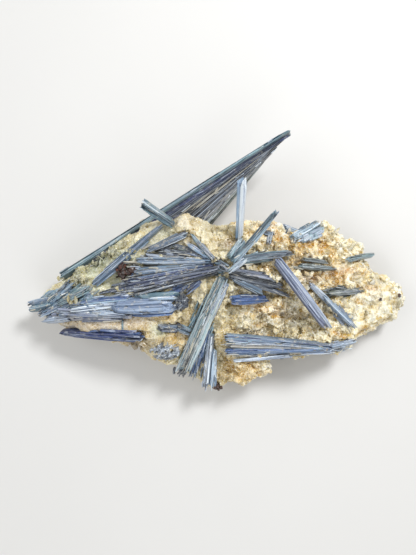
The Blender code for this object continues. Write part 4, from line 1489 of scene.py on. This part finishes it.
def add_garnets(context, node):
    """Adds the garnet crystals that stand for one cluster."""
    cluster = GARNETS[node]
    template = bpy.data.objects.get("garnet_crystal") or garnet_template("garnet_crystal")
    dice = random.Random(node)
    small_dice = random.Random(f"{node} small")
    parts = []
    for i in range(cluster.count):
        turn, reach = dice.uniform(0, math.tau), math.sqrt(i / cluster.count)
        place = (
            cluster.centre[0] + math.cos(turn) * reach * cluster.spread[0],
            cluster.centre[1] + math.sin(turn) * reach * cluster.spread[1],
        )
        size = cluster.grain * dice.uniform(0.7, 1.15)
        spin = Matrix.Rotation(dice.uniform(0, math.tau), 3, Vector((dice.random(), dice.random(), 1)))
        centre = on_front(place, cluster.lift + dice.uniform(-1, 1))
        wanted = [(centre, 1.5 * size, spin)]
        for _ in range(2):
            away = Vector([small_dice.uniform(-0.75, 0.75) for _ in range(3)]) * size
            wanted.append((centre + away, size * small_dice.uniform(0.5, 0.8), spin))
        for at, across, turned in wanted:
            garnet = copied(template, "garnet")
            placed = points_of(garnet.data) @ np.array(turned).T * across + np.array(at)
            set_points(garnet.data, placed * MM)
            parts.append(garnet)
    piece = joined(f"{node}_crystals", parts)
    colours = context.scene.kyanite_colours
    fitted(piece, node, shared_material("garnet_crystals", garnet_finish, colours))


# ---------------------------------------------------------------------------
# Operators
# ---------------------------------------------------------------------------


class KYANITE_OT_stage(bpy.types.Operator):
    """Add the pale floor, the soft lights and the camera above the specimen"""

    bl_idname = "kyanite.stage"
    bl_label = "Stage, Lights and Camera"

    def execute(self, context):
        """Adds the stage."""
        scene, sizes = context.scene, context.scene.kyanite_sizes
        bpy.ops.mesh.primitive_plane_add(size=6)
        floor = context.object
        floor.name = "studio_floor"
        floor.data.materials.append(floor_finish(scene.kyanite_colours))
        world = scene.world or bpy.data.worlds.new("studio")
        scene.world = world
        world.use_nodes = True
        background = world.node_tree.nodes["Background"]
        background.inputs["Color"].default_value = (1.0, 0.99, 0.96, 1)
        background.inputs["Strength"].default_value = 0.45
        lights = (
            ("key_light", (0.45, 0.55, 0.85), 0.25, sizes.light_power),
            ("fill_light", (-0.75, 0.1, 0.8), 0.8, 0.35 * sizes.light_power),
            ("low_light", (0.1, -0.8, 0.6), 0.6, 0.25 * sizes.light_power),
        )
        for name, place, size, power in lights:
            data = bpy.data.lights.new(name, "AREA")
            data.energy, data.size = power, size
            light = bpy.data.objects.new(name, data)
            light.location = place
            light.rotation_euler = (-Vector(place)).to_track_quat("-Z", "Y").to_euler()
            scene.collection.objects.link(light)
        camera_data = bpy.data.cameras.new("camera")
        half = PICTURE_HEIGHT / 2 / (EYE_HEIGHT - SIGHT_PLANE)
        camera_data.sensor_width = SENSOR
        camera_data.lens = SENSOR / 2 / half
        camera = bpy.data.objects.new("camera", camera_data)
        camera.location = (0, 0, EYE_HEIGHT * MM)
        scene.collection.objects.link(camera)
        scene.camera = camera
        scene.view_settings.view_transform = "Standard"
        return {"FINISHED"}


class KYANITE_OT_rock(bpy.types.Operator):
    """Add the lump of quartz, with the small facets and the stains of its broken surface"""

    bl_idname = "kyanite.rock"
    bl_label = "Quartz Rock"

    def execute(self, context):
        """Adds the rock."""
        add_rock(context)
        return {"FINISHED"}


class KYANITE_OT_quartz_grains(bpy.types.Operator):
    """Add the clear and cloudy grains that stand out of the quartz"""

    bl_idname = "kyanite.quartz_grains"
    bl_label = "Quartz Grains"

    def execute(self, context):
        """Adds the grains."""
        add_quartz_grains(context)
        return {"FINISHED"}


class KYANITE_OT_fan(bpy.types.Operator):
    """Add the long fan of laths that closes to a tip beyond the rock"""

    bl_idname = "kyanite.fan"
    bl_label = "Long Fan"

    def execute(self, context):
        """Adds the fan."""
        add_crystals(context, "fan_crystal")
        return {"FINISHED"}


class KYANITE_OT_prisms(bpy.types.Operator):
    """Add the prisms that stand clear of the rock"""

    bl_idname = "kyanite.prisms"
    bl_label = "Free Prisms"

    def execute(self, context):
        """Adds the prisms."""
        for node in ("upright_prism", "stub_prism", "diagonal_prism", "diagonal_blade"):
            add_crystals(context, node)
        return {"FINISHED"}


class KYANITE_OT_sprays(bpy.types.Operator):
    """Add the sprays of blades that start from the middle of the rock"""

    bl_idname = "kyanite.sprays"
    bl_label = "Sprays"

    def execute(self, context):
        """Adds the sprays."""
        for node in ("centre_spray", "left_spray", "lower_spray"):
            add_crystals(context, node)
        return {"FINISHED"}


class KYANITE_OT_left_end(bpy.types.Operator):
    """Add the stacked blades of the left end"""

    bl_idname = "kyanite.left_end"
    bl_label = "Left End"

    def execute(self, context):
        """Adds the blades."""
        for node in (
            "left_end_crystals", "left_tip_crystals", "navy_blade", "upper_left_blade", "slanted_blade",
        ):
            add_crystals(context, node)
        return {"FINISHED"}


class KYANITE_OT_bedded_blades(bpy.types.Operator):
    """Add the blades that lie in the quartz of the right half and of the foot"""

    bl_idname = "kyanite.bedded_blades"
    bl_label = "Bedded Blades"

    def execute(self, context):
        """Adds the blades."""
        for node in (
            "bottom_fan", "bottom_strip", "blade_in_quartz", "top_right_blade", "right_blade_upper",
            "right_blade_middle", "right_blade_lower", "right_edge_blade", "grey_plate", "lower_left_stubs",
        ):
            add_crystals(context, node)
        return {"FINISHED"}


class KYANITE_OT_side_blades(bpy.types.Operator):
    """Add the blades in the sides of the rock"""

    bl_idname = "kyanite.side_blades"
    bl_label = "Side Blades"

    def execute(self, context):
        """Adds the blades."""
        for node in ("back_blade_left", "back_blade_right", "side_blade_right"):
            add_crystals(context, node)
        return {"FINISHED"}


class KYANITE_OT_garnets(bpy.types.Operator):
    """Add the dark garnets"""

    bl_idname = "kyanite.garnets"
    bl_label = "Garnets"

    def execute(self, context):
        """Adds the garnets."""
        for node in GARNETS:
            add_garnets(context, node)
        return {"FINISHED"}


OPERATORS = (
    KYANITE_OT_stage,
    KYANITE_OT_rock,
    KYANITE_OT_quartz_grains,
    KYANITE_OT_fan,
    KYANITE_OT_prisms,
    KYANITE_OT_sprays,
    KYANITE_OT_left_end,
    KYANITE_OT_bedded_blades,
    KYANITE_OT_side_blades,
    KYANITE_OT_garnets,
)


class KYANITE_PT_panel(bpy.types.Panel):
    """Lists the steps that dress the specimen"""

    bl_idname = "KYANITE_PT_panel"
    bl_label = "Kyanite Specimen"
    bl_space_type = "VIEW_3D"
    bl_region_type = "UI"
    bl_category = "Kyanite"

    def draw(self, context):
        """Draws the sizes, the colours and one button for each step."""
        scene = context.scene
        for group in (scene.kyanite_sizes, scene.kyanite_colours):
            box = self.layout.box()
            for name in type(group).__annotations__:
                box.prop(group, name)
        for operator in OPERATORS:
            self.layout.operator(operator.bl_idname)


CLASSES = (KyaniteColours, KyaniteSizes, *OPERATORS, KYANITE_PT_panel)


def register():
    """Registers the classes and gives the scene their settings."""
    for made in CLASSES:
        bpy.utils.register_class(made)
    bpy.types.Scene.kyanite_colours = PointerProperty(type=KyaniteColours)
    bpy.types.Scene.kyanite_sizes = PointerProperty(type=KyaniteSizes)


def unregister():
    """Takes the settings and the classes away again."""
    del bpy.types.Scene.kyanite_sizes
    del bpy.types.Scene.kyanite_colours
    for made in reversed(CLASSES):
        bpy.utils.unregister_class(made)


def remove_templates():
    """Removes the shapes that the laths and grains were copied from."""
    for made in list(bpy.data.objects):
        if made.name.startswith(("lath_", "quartz_grain_", "garnet_crystal")):
            bpy.data.objects.remove(made)


def main():
    """Dresses the specimen."""
    register()
    for operator in OPERATORS:
        group, name = operator.bl_idname.split(".")
        getattr(getattr(bpy.ops, group), name)()
    remove_templates()


if __name__ == "__main__":
    main()
